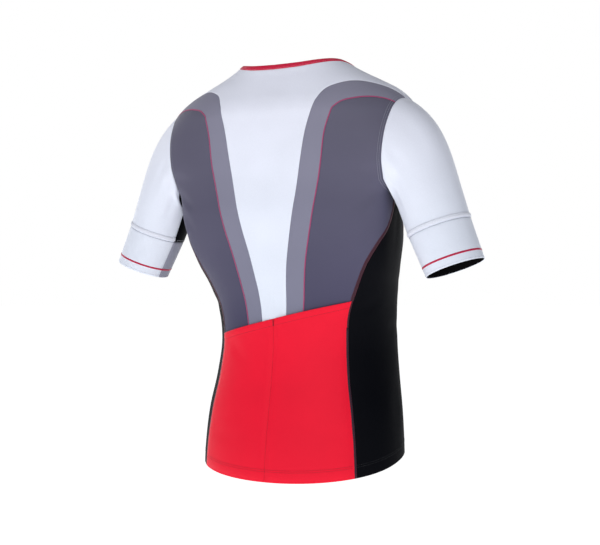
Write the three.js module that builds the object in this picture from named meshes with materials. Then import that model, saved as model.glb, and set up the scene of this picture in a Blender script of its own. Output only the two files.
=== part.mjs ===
// Triathlon top in its worn form, millimetres, +Z up.
// The wearer faces -Y, so +X is the wearer's left side. The origin is the middle
// of the neck hole at the level of its side points. Every piece of cloth is a
// thin wall of its own, cut along seam lines that lie on one smooth hollow form.
import * as THREE from 'three';

// ---------- driving dimensions ----------
const CLOTH = 1.2;            // wall thickness of one layer of cloth
const SEAM_GAP = 0.3;         // gap between two pieces along a seam
const BINDING_WIDTH = 8;      // neck binding
const HEM_FRONT = -615;       // height of the hem at the centre front
const HEM_DROP = 66;          // how much lower the hem lies at the centre back
const HEM_CURVE = 1.1;        // above 1 the hem stays level longer in front, and drops later
const LOWER_SEAM = -470;      // seam between the upper back pieces and the lower back
const POCKET_MOUTH = -417;    // height of the pocket mouth at the centre back
const POCKET_SLANT = 0.225;   // fall of the pocket mouth towards the wearer's left
const POCKET_LIFT = 1.1;      // space between a pocket and the back under it
const POCKET_GAP = 1.0;       // half the space between the two pockets
const ARMHOLE = { x: 213, y: 4, z: -128, lean: 0.105, deep: 78, below: 84 };
const STRIPE = { rise: 13, width: 3, thick: 1.0 };
const WELT = { rise: 1.5, width: 7, thick: 1.0 };

// Sections of the hollow form: half width, depth behind and before the side
// line, place of the side line front to back, and squareness of the outline.
const TRUNK = [
  { z: 40, half: 60, back: 40, front: 52, side: 2, square: 2.0 },
  { z: 12, half: 88, back: 50, front: 62, side: 0, square: 2.0 },
  { z: 0, half: 106, back: 54, front: 68, side: 0, square: 2.0 },
  { z: -14, half: 131, back: 58, front: 74, side: 0, square: 2.1 },
  { z: -31, half: 167, back: 64, front: 81, side: 1, square: 2.2 },
  { z: -45, half: 195, back: 69, front: 86, side: 2, square: 2.3 },
  { z: -58, half: 213, back: 73, front: 90, side: 4, square: 2.4 },
  { z: -75, half: 227, back: 74, front: 97, side: 8, square: 2.5 },
  { z: -95, half: 238, back: 71, front: 108, side: 12, square: 2.6 },
  { z: -125, half: 250, back: 64, front: 125, side: 20, square: 2.6 },
  { z: -160, half: 246, back: 56, front: 143, side: 28, square: 2.5 },
  { z: -187, half: 220, back: 51, front: 153, side: 32, square: 2.5 },
  { z: -210, half: 206, back: 51, front: 157, side: 32, square: 2.45 },
  { z: -240, half: 203, back: 53, front: 156, side: 30, square: 2.4 },
  { z: -270, half: 199, back: 57, front: 150, side: 23, square: 2.4 },
  { z: -300, half: 194, back: 64, front: 139, side: 11, square: 2.35 },
  { z: -330, half: 186, back: 73, front: 124, side: -3, square: 2.3 },
  { z: -360, half: 175, back: 86, front: 107, side: -22, square: 2.3 },
  { z: -390, half: 167, back: 95, front: 92, side: -37, square: 2.3 },
  { z: -450, half: 161, back: 107, front: 82, side: -51, square: 2.3 },
  { z: -510, half: 167, back: 107, front: 90, side: -46, square: 2.3 },
  { z: -570, half: 178, back: 105, front: 102, side: -35, square: 2.25 },
  { z: -632, half: 184, back: 110, front: 105, side: -31, square: 2.2 },
  { z: -700, half: 185, back: 114, front: 105, side: -30, square: 2.2 },
];

// Rings of the left sleeve below the armhole: centre, lean of the ring from
// level in degrees, half width along the lean and half depth front to back.
const RINGS = {
  upperArm: { x: 266, y: 8, z: -228, lean: 17, wide: 53.5, deep: 46 },
  bandSeam: { x: 284, y: 10, z: -272.5, lean: 19, wide: 52.5, deep: 41.5 },
  cuffEdge: { x: 313, y: 14, z: -334, lean: 19, wide: 49.5, deep: 39 },
};
const SLEEVE_BEND = 0.7;      // share of the sleeve above the upper arm ring
const SLEEVE_REACH = 1.25;    // fullness of the sleeve over the shoulder
const SHOULDER_SLOPE = 28;    // fall of the sleeve head where it leaves the shoulder tip
const ARM_SLOPE = 24;         // lean of the arm from upright

// Seam lines on the wearer's left, from the bottom up. Each row is a point near
// the form, and the line is drawn onto it.
const V_EDGE = [
  { x: 23, y: 54, z: LOWER_SEAM }, { x: 25, y: 56, z: -400 }, { x: 34, y: 70, z: -330 },
  { x: 49, y: 79, z: -265 }, { x: 60, y: 82, z: -215 }, { x: 70, y: 83, z: -160 },
  { x: 80, y: 82, z: -110 }, { x: 94, y: 76, z: -66 },
];
const V_ARCH = [
  { x: 94, y: 76, z: -66 }, { x: 106, y: 66, z: -47 }, { x: 124, y: 56, z: -38 },
  { x: 150, y: 40, z: -34 }, { x: 182, y: 24, z: -43 }, { x: 219.5, y: 4, z: -65 },
];
const BAND_EDGE = [
  { x: 50, y: 52, z: LOWER_SEAM }, { x: 57, y: 53, z: -400 }, { x: 70, y: 67, z: -325 },
  { x: 86, y: 76, z: -265 }, { x: 98, y: 80, z: -215 }, { x: 108, y: 81, z: -165 },
  { x: 115, y: 80, z: -115 }, { x: 126, y: 75, z: -80 },
];
const BAND_ARCH = [
  { x: 126, y: 75, z: -80 }, { x: 140, y: 71, z: -70 }, { x: 158, y: 64, z: -66 },
  { x: 185, y: 52, z: -65 }, { x: 218, y: 33, z: -73 },
];
const BACK_SEAM = [
  { x: 123, y: 26, z: LOWER_SEAM }, { x: 126, y: 28, z: -412 }, { x: 143, y: 31, z: -368 },
  { x: 166, y: 38, z: -326 }, { x: 187, y: 36, z: -294 }, { x: 200, y: 20, z: -256 },
  { x: 205, y: 8, z: -213 },
];
const BACK_SEAM_LOW = [
  { x: 150, y: 42, z: -690 }, { x: 145, y: 40, z: -613 }, { x: 138, y: 36, z: -565 },
  { x: 129, y: 31, z: -517 }, { x: 123, y: 26, z: LOWER_SEAM },
];
const FRONT_SEAM = [
  { x: 132, y: -104, z: LOWER_SEAM }, { x: 140, y: -102, z: -412 }, { x: 154, y: -98, z: -368 },
  { x: 172, y: -86, z: -326 }, { x: 187, y: -64, z: -290 }, { x: 200, y: -30, z: -250 },
  { x: 203, y: -18, z: -213 },
];
const FRONT_SEAM_LOW = [
  { x: 152, y: -96, z: -690 }, { x: 148, y: -98, z: -613 }, { x: 142, y: -101, z: -565 },
  { x: 134, y: -103, z: -517 }, { x: 132, y: -104, z: LOWER_SEAM },
];
const NECK_BACK = [
  { x: 0, y: 55, z: -9 }, { x: 27, y: 54, z: -8 }, { x: 52, y: 49, z: -6 },
  { x: 77, y: 37, z: -2 }, { x: 94, y: 20, z: 1 }, { x: 105, y: -8, z: 0 },
];
const NECK_FRONT = [
  { x: 105, y: -8, z: 0 }, { x: 103, y: -32, z: -12 }, { x: 91, y: -58, z: -34 },
  { x: 67, y: -78, z: -56 }, { x: 35, y: -90, z: -70 }, { x: 0, y: -94, z: -75 },
];
const SHOULDER = [
  { x: 105, y: -8, z: 0 }, { x: 145, y: -8, z: -20 }, { x: 185, y: -4, z: -40 },
  { x: 219.5, y: 4, z: -65 },
];

const CENTRE_BACK = [
  { x: 0, y: 56, z: LOWER_SEAM }, { x: 0, y: 70, z: -330 }, { x: 0, y: 82, z: -215 },
  { x: 0, y: 82, z: -66 },
];
const CENTRE_NAPE = [{ x: 0, y: 82, z: -66 }, { x: 0, y: 70, z: -36 }, { x: 0, y: 55, z: -9 }];
const CENTRE_FRONT = [{ x: 0, y: -133, z: -450 }, { x: 0, y: -126, z: -250 }];

// How many facets each seam line has. Two pieces that meet share its corners.
const COUNT = {
  seam: 7, seamLow: 5, band: 2, archV: 6, archBand: 5, edgeV: 13, edgeBand: 14,
  armBack: 7, armFront: 8, side: 5, shoulder: 4, neckBack: 5, neckFront: 6, sleeve: 7, cuff: 2,
  pocketWide: 8, pocketHigh: 6,
};
// How closely points and lines are worked out.
const SLOPE_STEP = 0.5;       // distance over which a slope of the form is measured
const DRAW_ROUNDS = 10;       // times a point is drawn closer to the form
const SETTLE_ROUNDS = 8;      // times a point and a height that depend on each other are worked out in turn
const EVEN_ROUNDS = 30;       // times the points of a panel are evened out
const HALVINGS = 50;          // times the stretch that holds the armhole's edge is halved
const FINE_STEPS = 40;        // steps along a seam line on which its crossing with the hem is found
// Angles round the armhole, from the shoulder tip over the back: where the
// light band ends, and where the side panel starts and ends.
const ARMHOLE_BAND = 30;
const ARMHOLE_SIDE = [175, 197];
// Where the underarm piece starts and ends on the lower sleeve rings.
const UNDERARM = [163, 232];
const UNDERARM_COLUMNS = [COUNT.band + COUNT.armBack - 1, COUNT.band + COUNT.armBack + COUNT.side + 1];

// ---------- the form ----------
const vec = (x, y, z) => new THREE.Vector3(x, y, z);
const radians = THREE.MathUtils.degToRad;
const COLUMNS = ['half', 'back', 'front', 'side', 'square'];

/** Smooth values between the rows of a table with falling z. */
function sectionAt(z) {
  const last = TRUNK.length - 1;
  const height = Math.min(TRUNK[0].z, Math.max(TRUNK[last].z, z));
  let row = 0;
  while (row < last - 1 && TRUNK[row + 1].z >= height) row += 1;
  const above = TRUNK[row];
  const below = TRUNK[row + 1];
  const span = below.z - above.z;
  const t = (height - above.z) / span;
  const section = {};
  for (const key of COLUMNS) {
    const startSlope = slopeAt(row, key) * span;
    const endSlope = slopeAt(row + 1, key) * span;
    section[key] = above[key] * (2 * t ** 3 - 3 * t ** 2 + 1) + startSlope * (t ** 3 - 2 * t ** 2 + t)
      + below[key] * (3 * t ** 2 - 2 * t ** 3) + endSlope * (t ** 3 - t ** 2);
  }
  return section;
}

/** Slope of one column at a row, from the rows on both sides. */
function slopeAt(row, key) {
  const slope = (i) => (TRUNK[i + 1][key] - TRUNK[i][key]) / (TRUNK[i + 1].z - TRUNK[i].z);
  if (row === 0) return slope(0);
  if (row === TRUNK.length - 1) return slope(row - 1);
  const before = TRUNK[row].z - TRUNK[row - 1].z;
  const after = TRUNK[row + 1].z - TRUNK[row].z;
  return (slope(row - 1) * after + slope(row) * before) / (before + after);
}

/** Below 0 inside the form, 0 on it, above 0 outside. */
function form(p) {
  const s = sectionAt(p.z);
  const y = p.y - s.side;
  const depth = y > 0 ? s.back : s.front;
  return ((Math.abs(p.x) / s.half) ** s.square + (Math.abs(y) / depth) ** s.square) ** (1 / s.square) - 1;
}

function gradient(p) {
  const along = (axis) => {
    const ahead = p.clone();
    const behind = p.clone();
    ahead[axis] += SLOPE_STEP;
    behind[axis] -= SLOPE_STEP;
    return (form(ahead) - form(behind)) / (2 * SLOPE_STEP);
  };
  return vec(along('x'), along('y'), along('z'));
}

/** The point on the form that a point near it is drawn to. */
function onForm(p, rounds = DRAW_ROUNDS) {
  const point = p.clone();
  for (let i = 0; i < rounds; i += 1) {
    const g = gradient(point);
    point.addScaledVector(g, -form(point) / g.lengthSq());
  }
  return point;
}

const formNormal = (p) => gradient(p).normalize();

// ---------- lines ----------
/** A line of count + 1 points, evenly spaced, through the rows and on the form. */
function seamLine(rows, count) {
  const curve = new THREE.CatmullRomCurve3(rows.map((r) => vec(r.x, r.y, r.z)), false, 'centripetal');
  return curve.getSpacedPoints(count).map((p) => onForm(p));
}

/** The hem's height falls smoothly from front to back. */
function hemHeight(p) {
  const s = sectionAt(HEM_FRONT);
  const turn = Math.atan2((p.y - s.side) / s.back, Math.abs(p.x) / s.half);
  return HEM_FRONT - HEM_DROP * ((1 + Math.sin(turn)) / 2) ** HEM_CURVE;
}

/** A seam line that starts at the hem. */
function seamFromHem(rows, count) {
  const fine = seamLine(rows, FINE_STEPS);
  const first = fine.findIndex((p) => p.z > hemHeight(p));
  const a = fine[first - 1];
  const b = fine[first];
  const share = (hemHeight(a) - a.z) / (hemHeight(a) - a.z + b.z - hemHeight(b));
  const start = onForm(a.clone().lerp(b, share));
  const curve = new THREE.CatmullRomCurve3([start, ...fine.slice(first)], false, 'centripetal');
  return curve.getSpacedPoints(count).map((p) => onForm(p));
}

/** A stretch of the hem between two points of it, drawn round the form. */
function hemLine(from, to, count, around) {
  const s = sectionAt(HEM_FRONT);
  const turnOf = (p) => Math.atan2(p.y - s.side, p.x);
  const start = turnOf(from);
  let end = turnOf(to);
  if (around > 0 && end < start) end += 2 * Math.PI;
  if (around < 0 && end > start) end -= 2 * Math.PI;
  const points = [];
  for (let i = 0; i <= count; i += 1) {
    const turn = start + (end - start) * i / count;
    const p = vec(s.half * Math.cos(turn), s.side + s.half * Math.sin(turn), HEM_FRONT);
    for (let k = 0; k < SETTLE_ROUNDS; k += 1) {
      p.z = hemHeight(p);
      const reach = 1 + form(p);
      p.x /= reach;
      p.y = s.side + (p.y - s.side) / reach;
    }
    points.push(p);
  }
  points[0] = from.clone();
  points[count] = to.clone();
  return points;
}

/** The left armhole: where a leaning plane cuts the form, rounded off below. 0 is the shoulder tip. */
function armholePoint(degrees) {
  const t = radians(degrees);
  const direction = vec(ARMHOLE.lean * Math.cos(t), Math.sin(t), Math.cos(t));
  const centre = vec(ARMHOLE.x, ARMHOLE.y, ARMHOLE.z);
  let inside = 0;
  let outside = 1 / Math.hypot(Math.sin(t) / ARMHOLE.deep, Math.cos(t) / ARMHOLE.below);
  for (let i = 0; i < HALVINGS; i += 1) {
    const middle = (inside + outside) / 2;
    if (form(centre.clone().addScaledVector(direction, middle)) < 0) inside = middle;
    else outside = middle;
  }
  return onForm(centre.addScaledVector(direction, inside));
}

/** Evenly divided angles from one to another. */
const steps = (from, to, count) => (
  Array.from({ length: count + 1 }, (_, i) => from + (to - from) * i / count));

const ARMHOLE_ANGLES = [
  ...steps(0, ARMHOLE_BAND, COUNT.band).slice(0, -1),
  ...steps(ARMHOLE_BAND, ARMHOLE_SIDE[0], COUNT.armBack).slice(0, -1),
  ...steps(ARMHOLE_SIDE[0], ARMHOLE_SIDE[1], COUNT.side).slice(0, -1),
  ...steps(ARMHOLE_SIDE[1], 360, COUNT.armFront),
];
const armhole = ARMHOLE_ANGLES.map(armholePoint);
const bandEnd = COUNT.band;
const sideStart = bandEnd + COUNT.armBack;
const sideEnd = sideStart + COUNT.side;
const tip = armhole[0];

/** The same line with its last point put on a given one. */
function endingAt(line, point) {
  return [...line.slice(0, -1), point.clone()];
}
const startingAt = (line, point) => [point.clone(), ...line.slice(1)];
const joined = (first, second) => [...first, ...second.slice(1)];
const reversed = (line) => [...line].reverse();
const mirrored = (line) => line.map((p) => vec(-p.x, p.y, p.z));

const edgeV = seamLine(V_EDGE, COUNT.edgeV);
const archV = endingAt(startingAt(seamLine(V_ARCH, COUNT.archV), edgeV[COUNT.edgeV]), tip);
const edgeBand = seamLine(BAND_EDGE, COUNT.edgeBand);
const archBand = endingAt(
  startingAt(seamLine(BAND_ARCH, COUNT.archBand), edgeBand[COUNT.edgeBand]), armhole[bandEnd]);
const backSeam = endingAt(seamLine(BACK_SEAM, COUNT.seam), armhole[sideStart]);
const backSeamLow = endingAt(seamFromHem(BACK_SEAM_LOW, COUNT.seamLow), backSeam[0]);
const frontSeam = endingAt(seamLine(FRONT_SEAM, COUNT.seam), armhole[sideEnd]);
const frontSeamLow = endingAt(seamFromHem(FRONT_SEAM_LOW, COUNT.seamLow), frontSeam[0]);
const neckBack = seamLine(NECK_BACK, COUNT.neckBack);
const neckFront = startingAt(seamLine(NECK_FRONT, COUNT.neckFront), neckBack[COUNT.neckBack]);
const shoulder = endingAt(startingAt(seamLine(SHOULDER, COUNT.shoulder), neckBack[COUNT.neckBack]), tip);

// ---------- walls ----------
/**
 * Fills four edges with a grid on the form. The shape of the top edge is felt
 * from the row yoke upwards, and the points are evened out from above that row.
 */
function patch(bottom, top, left, right, yoke = 0) {
  const across = bottom.length - 1;
  const up = left.length - 1;
  const bulge = (edge, i) => edge[i].clone().sub(edge[0].clone().lerp(edge[across], i / across));
  const grid = [];
  for (let j = 0; j <= up; j += 1) {
    const row = [];
    for (let i = 0; i <= across; i += 1) {
      const point = left[j].clone().lerp(right[j], i / across)
        .addScaledVector(bulge(bottom, i), 1 - j / up)
        .addScaledVector(bulge(top, i), Math.max(0, (j - yoke) / (up - yoke)));
      const inner = i > 0 && i < across && j > 0 && j < up;
      row.push(inner ? onForm(point) : point);
    }
    grid.push(row);
  }
  return evened(grid, yoke > 0 ? yoke + 2 : 1);
}

/** Spreads the inner points of a grid, from one row up, evenly over the form. */
function evened(grid, firstRow) {
  for (let round = 0; round < EVEN_ROUNDS; round += 1) {
    for (let j = firstRow; j < grid.length - 1; j += 1) {
      for (let i = 1; i < grid[j].length - 1; i += 1) {
        const middle = grid[j - 1][i].clone().add(grid[j + 1][i]).add(grid[j][i - 1]).add(grid[j][i + 1]);
        grid[j][i] = onForm(middle.divideScalar(4), 2);
      }
    }
  }
  return grid;
}

/** Edge vertices step back from the seam line by half a seam gap. */
function stepBack(grid, normals, closed) {
  const up = grid.length - 1;
  const across = grid[0].length - 1;
  const shifted = grid.map((row) => row.map((p) => p.clone()));
  const inward = (j, i, tangent, toward) => {
    const side = normals[j][i].clone().cross(tangent).normalize();
    if (side.dot(toward) < 0) side.negate();
    shifted[j][i].addScaledVector(side, SEAM_GAP / 2);
  };
  for (let i = 0; i <= across; i += 1) {
    const before = grid[0][Math.max(i - 1, 0)];
    const after = grid[0][Math.min(i + 1, across)];
    inward(0, i, after.clone().sub(before), grid[1][i].clone().sub(grid[0][i]));
    const topBefore = grid[up][Math.max(i - 1, 0)];
    const topAfter = grid[up][Math.min(i + 1, across)];
    inward(up, i, topAfter.clone().sub(topBefore), grid[up - 1][i].clone().sub(grid[up][i]));
  }
  for (let j = 0; j <= up && !closed; j += 1) {
    const low = grid[Math.max(j - 1, 0)];
    const high = grid[Math.min(j + 1, up)];
    inward(j, 0, high[0].clone().sub(low[0]), grid[j][1].clone().sub(grid[j][0]));
    const toInside = grid[j][across - 1].clone().sub(grid[j][across]);
    inward(j, across, high[across].clone().sub(low[across]), toInside);
  }
  return shifted;
}

/** A closed wall between a grid and the same grid moved in along its normals. */
function wall(grid, normals, { thick = CLOTH, closed = false, seams = true } = {}) {
  const outer = seams ? stepBack(grid, normals, closed) : grid;
  const up = outer.length - 1;
  const across = outer[0].length - 1;
  const wide = across + 1;
  const positions = [];
  const push = (p) => positions.push(p.x, p.y, p.z);
  outer.forEach((row) => row.forEach(push));
  outer.forEach((row, j) => row.forEach((p, i) => push(p.clone().addScaledVector(normals[j][i], -thick))));
  const innerStart = wide * (up + 1);
  const at = (j, i) => j * wide + (closed && i === across ? 0 : i);
  const faces = [];
  const quad = (a, b, c, d) => faces.push(a, b, c, a, c, d);
  for (let j = 0; j < up; j += 1) {
    for (let i = 0; i < across; i += 1) {
      const cell = [at(j, i), at(j, i + 1), at(j + 1, i + 1), at(j + 1, i)];
      const rising = outer[j][i].distanceTo(outer[j + 1][i + 1]);
      const falling = outer[j][i + 1].distanceTo(outer[j + 1][i]);
      if (falling < rising) cell.push(cell.shift());
      quad(...cell);
      const [a, b, c, d] = cell.map((k) => innerStart + k);
      quad(a, d, c, b);
    }
  }
  const rim = (line) => {
    for (let k = 0; k + 1 < line.length; k += 1) {
      quad(line[k + 1], line[k], innerStart + line[k], innerStart + line[k + 1]);
    }
  };
  const columns = Array.from({ length: wide }, (_, i) => i);
  const rows = Array.from({ length: up + 1 }, (_, j) => j);
  rim(columns.map((i) => at(0, i)));
  rim([...columns].reverse().map((i) => at(up, i)));
  if (!closed) {
    rim([...rows].reverse().map((j) => at(j, 0)));
    rim(rows.map((j) => at(j, across)));
  }
  const geometry = new THREE.BufferGeometry();
  geometry.setAttribute('position', new THREE.Float32BufferAttribute(positions, 3));
  geometry.setIndex(outwards(positions, faces));
  geometry.computeVertexNormals();
  return geometry;
}

/** Turns all faces over when the mesh encloses a negative volume. */
function outwards(positions, faces) {
  const corner = (i) => vec(positions[3 * i], positions[3 * i + 1], positions[3 * i + 2]);
  let volume = 0;
  for (let f = 0; f < faces.length; f += 3) {
    volume += corner(faces[f]).dot(corner(faces[f + 1]).cross(corner(faces[f + 2])));
  }
  if (volume > 0) return faces;
  const turned = [];
  for (let f = 0; f < faces.length; f += 3) turned.push(faces[f], faces[f + 2], faces[f + 1]);
  return turned;
}

const normalsOnForm = (grid) => grid.map((row) => row.map(formNormal));
const mirroredGrid = (grid) => grid.map((row) => mirrored(row));
const movedOut = (grid, normals, lift) => grid.map((row, j) => (
  row.map((p, i) => p.clone().addScaledVector(normals[j][i], lift))));

// ---------- trunk pieces ----------
/** The left half continued by its mirror image, from the right edge to the left. */
const bothHalves = (half) => half.map((row) => [...reversed(mirrored(row)).slice(0, -1), ...row]);

function backCentreGrid() {
  const low = seamLine(CENTRE_BACK, COUNT.edgeV);
  const high = startingAt(seamLine(CENTRE_NAPE, COUNT.archV), low[COUNT.edgeV]);
  const top = joined(neckBack, shoulder);
  const bottom = levelLine(low[0], edgeV[0], top.length - 1);
  const centre = endingAt(joined(low, high), top[0]);
  return bothHalves(patch(bottom, top, centre, joined(edgeV, archV), COUNT.edgeV));
}

/** A level line on the form between two of its points. */
function levelLine(from, to, count) {
  return steps(0, 1, count).map((t, i) => {
    if (i === 0 || i === count) return (i === 0 ? from : to).clone();
    return onFormLevel(from.clone().lerp(to, t));
  });
}

/** Like onForm, but the height stays. */
function onFormLevel(p) {
  const side = sectionAt(p.z).side;
  const reach = 1 + form(p);
  return vec(p.x / reach, side + (p.y - side) / reach, p.z);
}

function bandGrid() {
  const inner = joined(edgeV, archV);
  const outer = joined(edgeBand, archBand);
  const end = armhole.slice(0, bandEnd + 1);
  return patch(levelLine(inner[0], outer[0], COUNT.band), end, inner, outer);
}

function backSideGrid() {
  const outer = joined(backSeam, reversed(armhole.slice(bandEnd, sideStart + 1)));
  return patch(levelLine(edgeBand[0], backSeam[0], COUNT.archBand), archBand, edgeBand, outer);
}

function backLowerGrid() {
  const centreTop = backCentreGrid()[0];
  const left = joined(bandGrid()[0], backSideGrid()[0]);
  const top = [...reversed(mirrored(left)).slice(0, -1), ...centreTop, ...left.slice(1)];
  const right = mirrored(backSeamLow);
  const hem = hemLine(right[0], backSeamLow[0], top.length - 1, -1);
  return patch(hem, top, right, backSeamLow);
}

function sidePanelGrid() {
  const back = joined(backSeamLow, backSeam);
  const front = joined(frontSeamLow, frontSeam);
  const hem = hemLine(back[0], front[0], COUNT.side, -1);
  return patch(hem, armhole.slice(sideStart, sideEnd + 1), back, front);
}

function frontGrid() {
  const left = joined(joined(frontSeamLow, frontSeam), armhole.slice(sideEnd));
  const top = joined(reversed(shoulder), neckFront);
  const low = sectionAt(HEM_FRONT);
  const hem = hemLine(left[0], vec(0, low.side - low.front, HEM_FRONT), top.length - 1, -1);
  const hemMiddle = hem[hem.length - 1];
  const neckMiddle = top[top.length - 1];
  const middle = seamLine([hemMiddle, ...CENTRE_FRONT, neckMiddle], left.length - 1);
  const centre = endingAt(startingAt(middle, hemMiddle), neckMiddle);
  return bothHalves(patch(reversed(hem), reversed(top), centre, left));
}

/** One pocket on the lower back, mouth edge slanted, its points moved out from the back. */
function pocketGrid(side) {
  const across = COUNT.pocketWide;
  const up = COUNT.pocketHigh;
  const seam = joined(backSeamLow, backSeam);
  const seamAt = (z) => {
    const k = Math.max(1, seam.findIndex((p) => p.z >= z));
    return seam[k - 1].clone().lerp(seam[k], (z - seam[k - 1].z) / (seam[k].z - seam[k - 1].z));
  };
  const grid = [];
  for (let j = 0; j <= up; j += 1) {
    const row = [];
    for (let i = 0; i <= across; i += 1) {
      const share = i / across;
      const mouthX = (z) => side * (POCKET_GAP + (seamAt(z).x - 2 * POCKET_GAP) * share);
      let mouth = POCKET_MOUTH;
      for (let k = 0; k < SETTLE_ROUNDS; k += 1) mouth = POCKET_MOUTH - POCKET_SLANT * mouthX(mouth);
      let p = vec(0, 0, HEM_FRONT - HEM_DROP);
      for (let k = 0; k < SETTLE_ROUNDS; k += 1) {
        const hem = hemHeight(p) + SEAM_GAP;
        const z = hem + (mouth - hem) * j / up;
        const s = sectionAt(z);
        const x = mouthX(z);
        p = vec(x, s.side + s.back * (1 - (Math.abs(x) / s.half) ** s.square) ** (1 / s.square), z);
      }
      row.push(p);
    }
    grid.push(row);
  }
  return grid;
}

// ---------- neck binding ----------
function bindingGrid() {
  const left = joined(neckBack, neckFront);
  const right = reversed(mirrored(left));
  const ring = [...left, ...right.slice(1)];
  const count = ring.length - 1;
  const upper = ring.map((p, i) => {
    const before = ring[(i + count - 1) % count];
    const after = ring[(i + 1) % count];
    const up = formNormal(p).cross(after.clone().sub(before)).normalize();
    if (up.z < 0) up.negate();
    return p.clone().addScaledVector(up, BINDING_WIDTH);
  });
  return [ring, upper];
}

// ---------- sleeves ----------
/** Angle of each column of facets on the lower rings. */
const RING_ANGLES = armhole.map((_, i) => {
  const [start, end] = UNDERARM_COLUMNS;
  if (i <= start) return UNDERARM[0] * i / start;
  if (i <= end) return UNDERARM[0] + (UNDERARM[1] - UNDERARM[0]) * (i - start) / (end - start);
  return UNDERARM[1] + (360 - UNDERARM[1]) * (i - end) / (armhole.length - 1 - end);
});

function ringPoint(ring, degrees) {
  const t = radians(degrees);
  const lean = radians(ring.lean);
  const out = vec(Math.cos(lean), 0, Math.sin(lean));
  return vec(ring.x, ring.y, ring.z).addScaledVector(out, ring.wide * Math.cos(t))
    .addScaledVector(vec(0, 1, 0), ring.deep * Math.sin(t));
}

/** Direction in which the sleeve leaves the armhole: along the form on top, down the arm below. */
function leavingDirection(i) {
  const last = armhole.length - 1;
  const before = armhole[i === 0 ? last - 1 : i - 1];
  const after = armhole[i === last ? 1 : i + 1];
  const along = after.clone().sub(before);
  const outward = along.cross(formNormal(armhole[i])).normalize();
  const over = vec(Math.cos(radians(SHOULDER_SLOPE)), 0, -Math.sin(radians(SHOULDER_SLOPE)));
  const down = vec(Math.sin(radians(ARM_SLOPE)), 0, -Math.cos(radians(ARM_SLOPE)));
  const height = Math.cos(radians(ARMHOLE_ANGLES[i]));
  return outward.lerp(down, (1 - height) / 2).lerp(over, Math.max(0, height) ** 2).normalize();
}

/** Lengthwise lines of the left sleeve: from the armhole over the upper arm to the band seam. */
function sleevePoint(i, v) {
  const start = armhole[i];
  const [upper, band, cuff] = Object.values(RINGS).map((ring) => ringPoint(ring, RING_ANGLES[i]));
  const through = band.clone().sub(upper).normalize();
  if (v <= SLEEVE_BEND) {
    const reach = start.distanceTo(upper);
    const leave = leavingDirection(i).multiplyScalar(reach * SLEEVE_REACH);
    return hermite(start, leave, upper, through.multiplyScalar(reach), v / SLEEVE_BEND);
  }
  const gap = upper.distanceTo(band);
  const halfway = cuff.clone().sub(band).normalize().add(through).divideScalar(2);
  return hermite(upper, through.multiplyScalar(gap), band, halfway.multiplyScalar(gap),
    (v - SLEEVE_BEND) / (1 - SLEEVE_BEND));
}

function hermite(a, startSlope, b, endSlope, t) {
  return a.clone().multiplyScalar(2 * t ** 3 - 3 * t ** 2 + 1)
    .addScaledVector(startSlope, t ** 3 - 2 * t ** 2 + t)
    .addScaledVector(b, 3 * t ** 2 - 2 * t ** 3)
    .addScaledVector(endSlope, t ** 3 - t ** 2);
}

/** Whole rings of the left sleeve, from the armhole (row 0) to the cuff edge. */
const sleeveRows = steps(0, 1, COUNT.sleeve).map((v) => armhole.map((_, i) => sleevePoint(i, v)));
const cuffRows = steps(0, 1, COUNT.cuff).map((v) => armhole.map((_, i) => (
  ringPoint(RINGS.bandSeam, RING_ANGLES[i]).lerp(ringPoint(RINGS.cuffEdge, RING_ANGLES[i]), v))));
const allRows = joined(sleeveRows, cuffRows);

/** Outward normals of the sleeve's rings, round the ring without a break. */
function sleeveNormals(rows) {
  const last = rows[0].length - 1;
  return rows.map((row, j) => row.map((p, i) => {
    const around = row[i === last ? 1 : i + 1].clone().sub(row[i === 0 ? last - 1 : i - 1]);
    const down = rows[Math.min(j + 1, rows.length - 1)][i].clone().sub(rows[Math.max(j - 1, 0)][i]);
    const normal = around.cross(down).normalize();
    const centre = row.reduce((sum, q) => sum.add(q), vec(0, 0, 0)).divideScalar(row.length);
    return normal.dot(p.clone().sub(centre)) < 0 ? normal.negate() : normal;
  }));
}
const allNormals = sleeveNormals(allRows);

/** Rows and columns of the sleeve's rings, with the columns running on past the shoulder tip. */
function cut(rows, fromRow, toRow, fromColumn, toColumn) {
  const last = rows[0].length - 1;
  const picked = [];
  for (let j = fromRow; j <= toRow; j += 1) {
    const row = [];
    for (let i = fromColumn; i <= toColumn; i += 1) row.push(rows[j][i % last].clone());
    picked.push(row);
  }
  return picked;
}

const [underStart, underEnd] = UNDERARM_COLUMNS;
const lastColumn = armhole.length - 1;
const ARM_PIECES = {
  sleeve: [0, COUNT.sleeve, underEnd, underStart + lastColumn],
  sleeve_underarm: [0, COUNT.sleeve, underStart, underEnd],
  cuff: [COUNT.sleeve, COUNT.sleeve + COUNT.cuff, underEnd, underStart + lastColumn],
  cuff_underarm: [COUNT.sleeve, COUNT.sleeve + COUNT.cuff, underStart, underEnd],
};

/** A narrow strip lying on one row of the sleeve's facets, between two shares of that row. */
function strip(row, spread, columns, thick) {
  const [fromColumn, toColumn] = columns;
  const points = cut(allRows, row, row + 1, fromColumn, toColumn);
  const normals = cut(allNormals, row, row + 1, fromColumn, toColumn);
  const at = (share) => points[0].map((p, i) => p.clone().lerp(points[1][i], share));
  const normalAt = (share) => normals[0].map((n, i) => n.clone().lerp(normals[1][i], share).normalize());
  const grid = spread.map(at);
  const direction = spread.map(normalAt);
  return { grid: movedOut(grid, direction, SEAM_GAP + thick), normals: direction };
}

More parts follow.
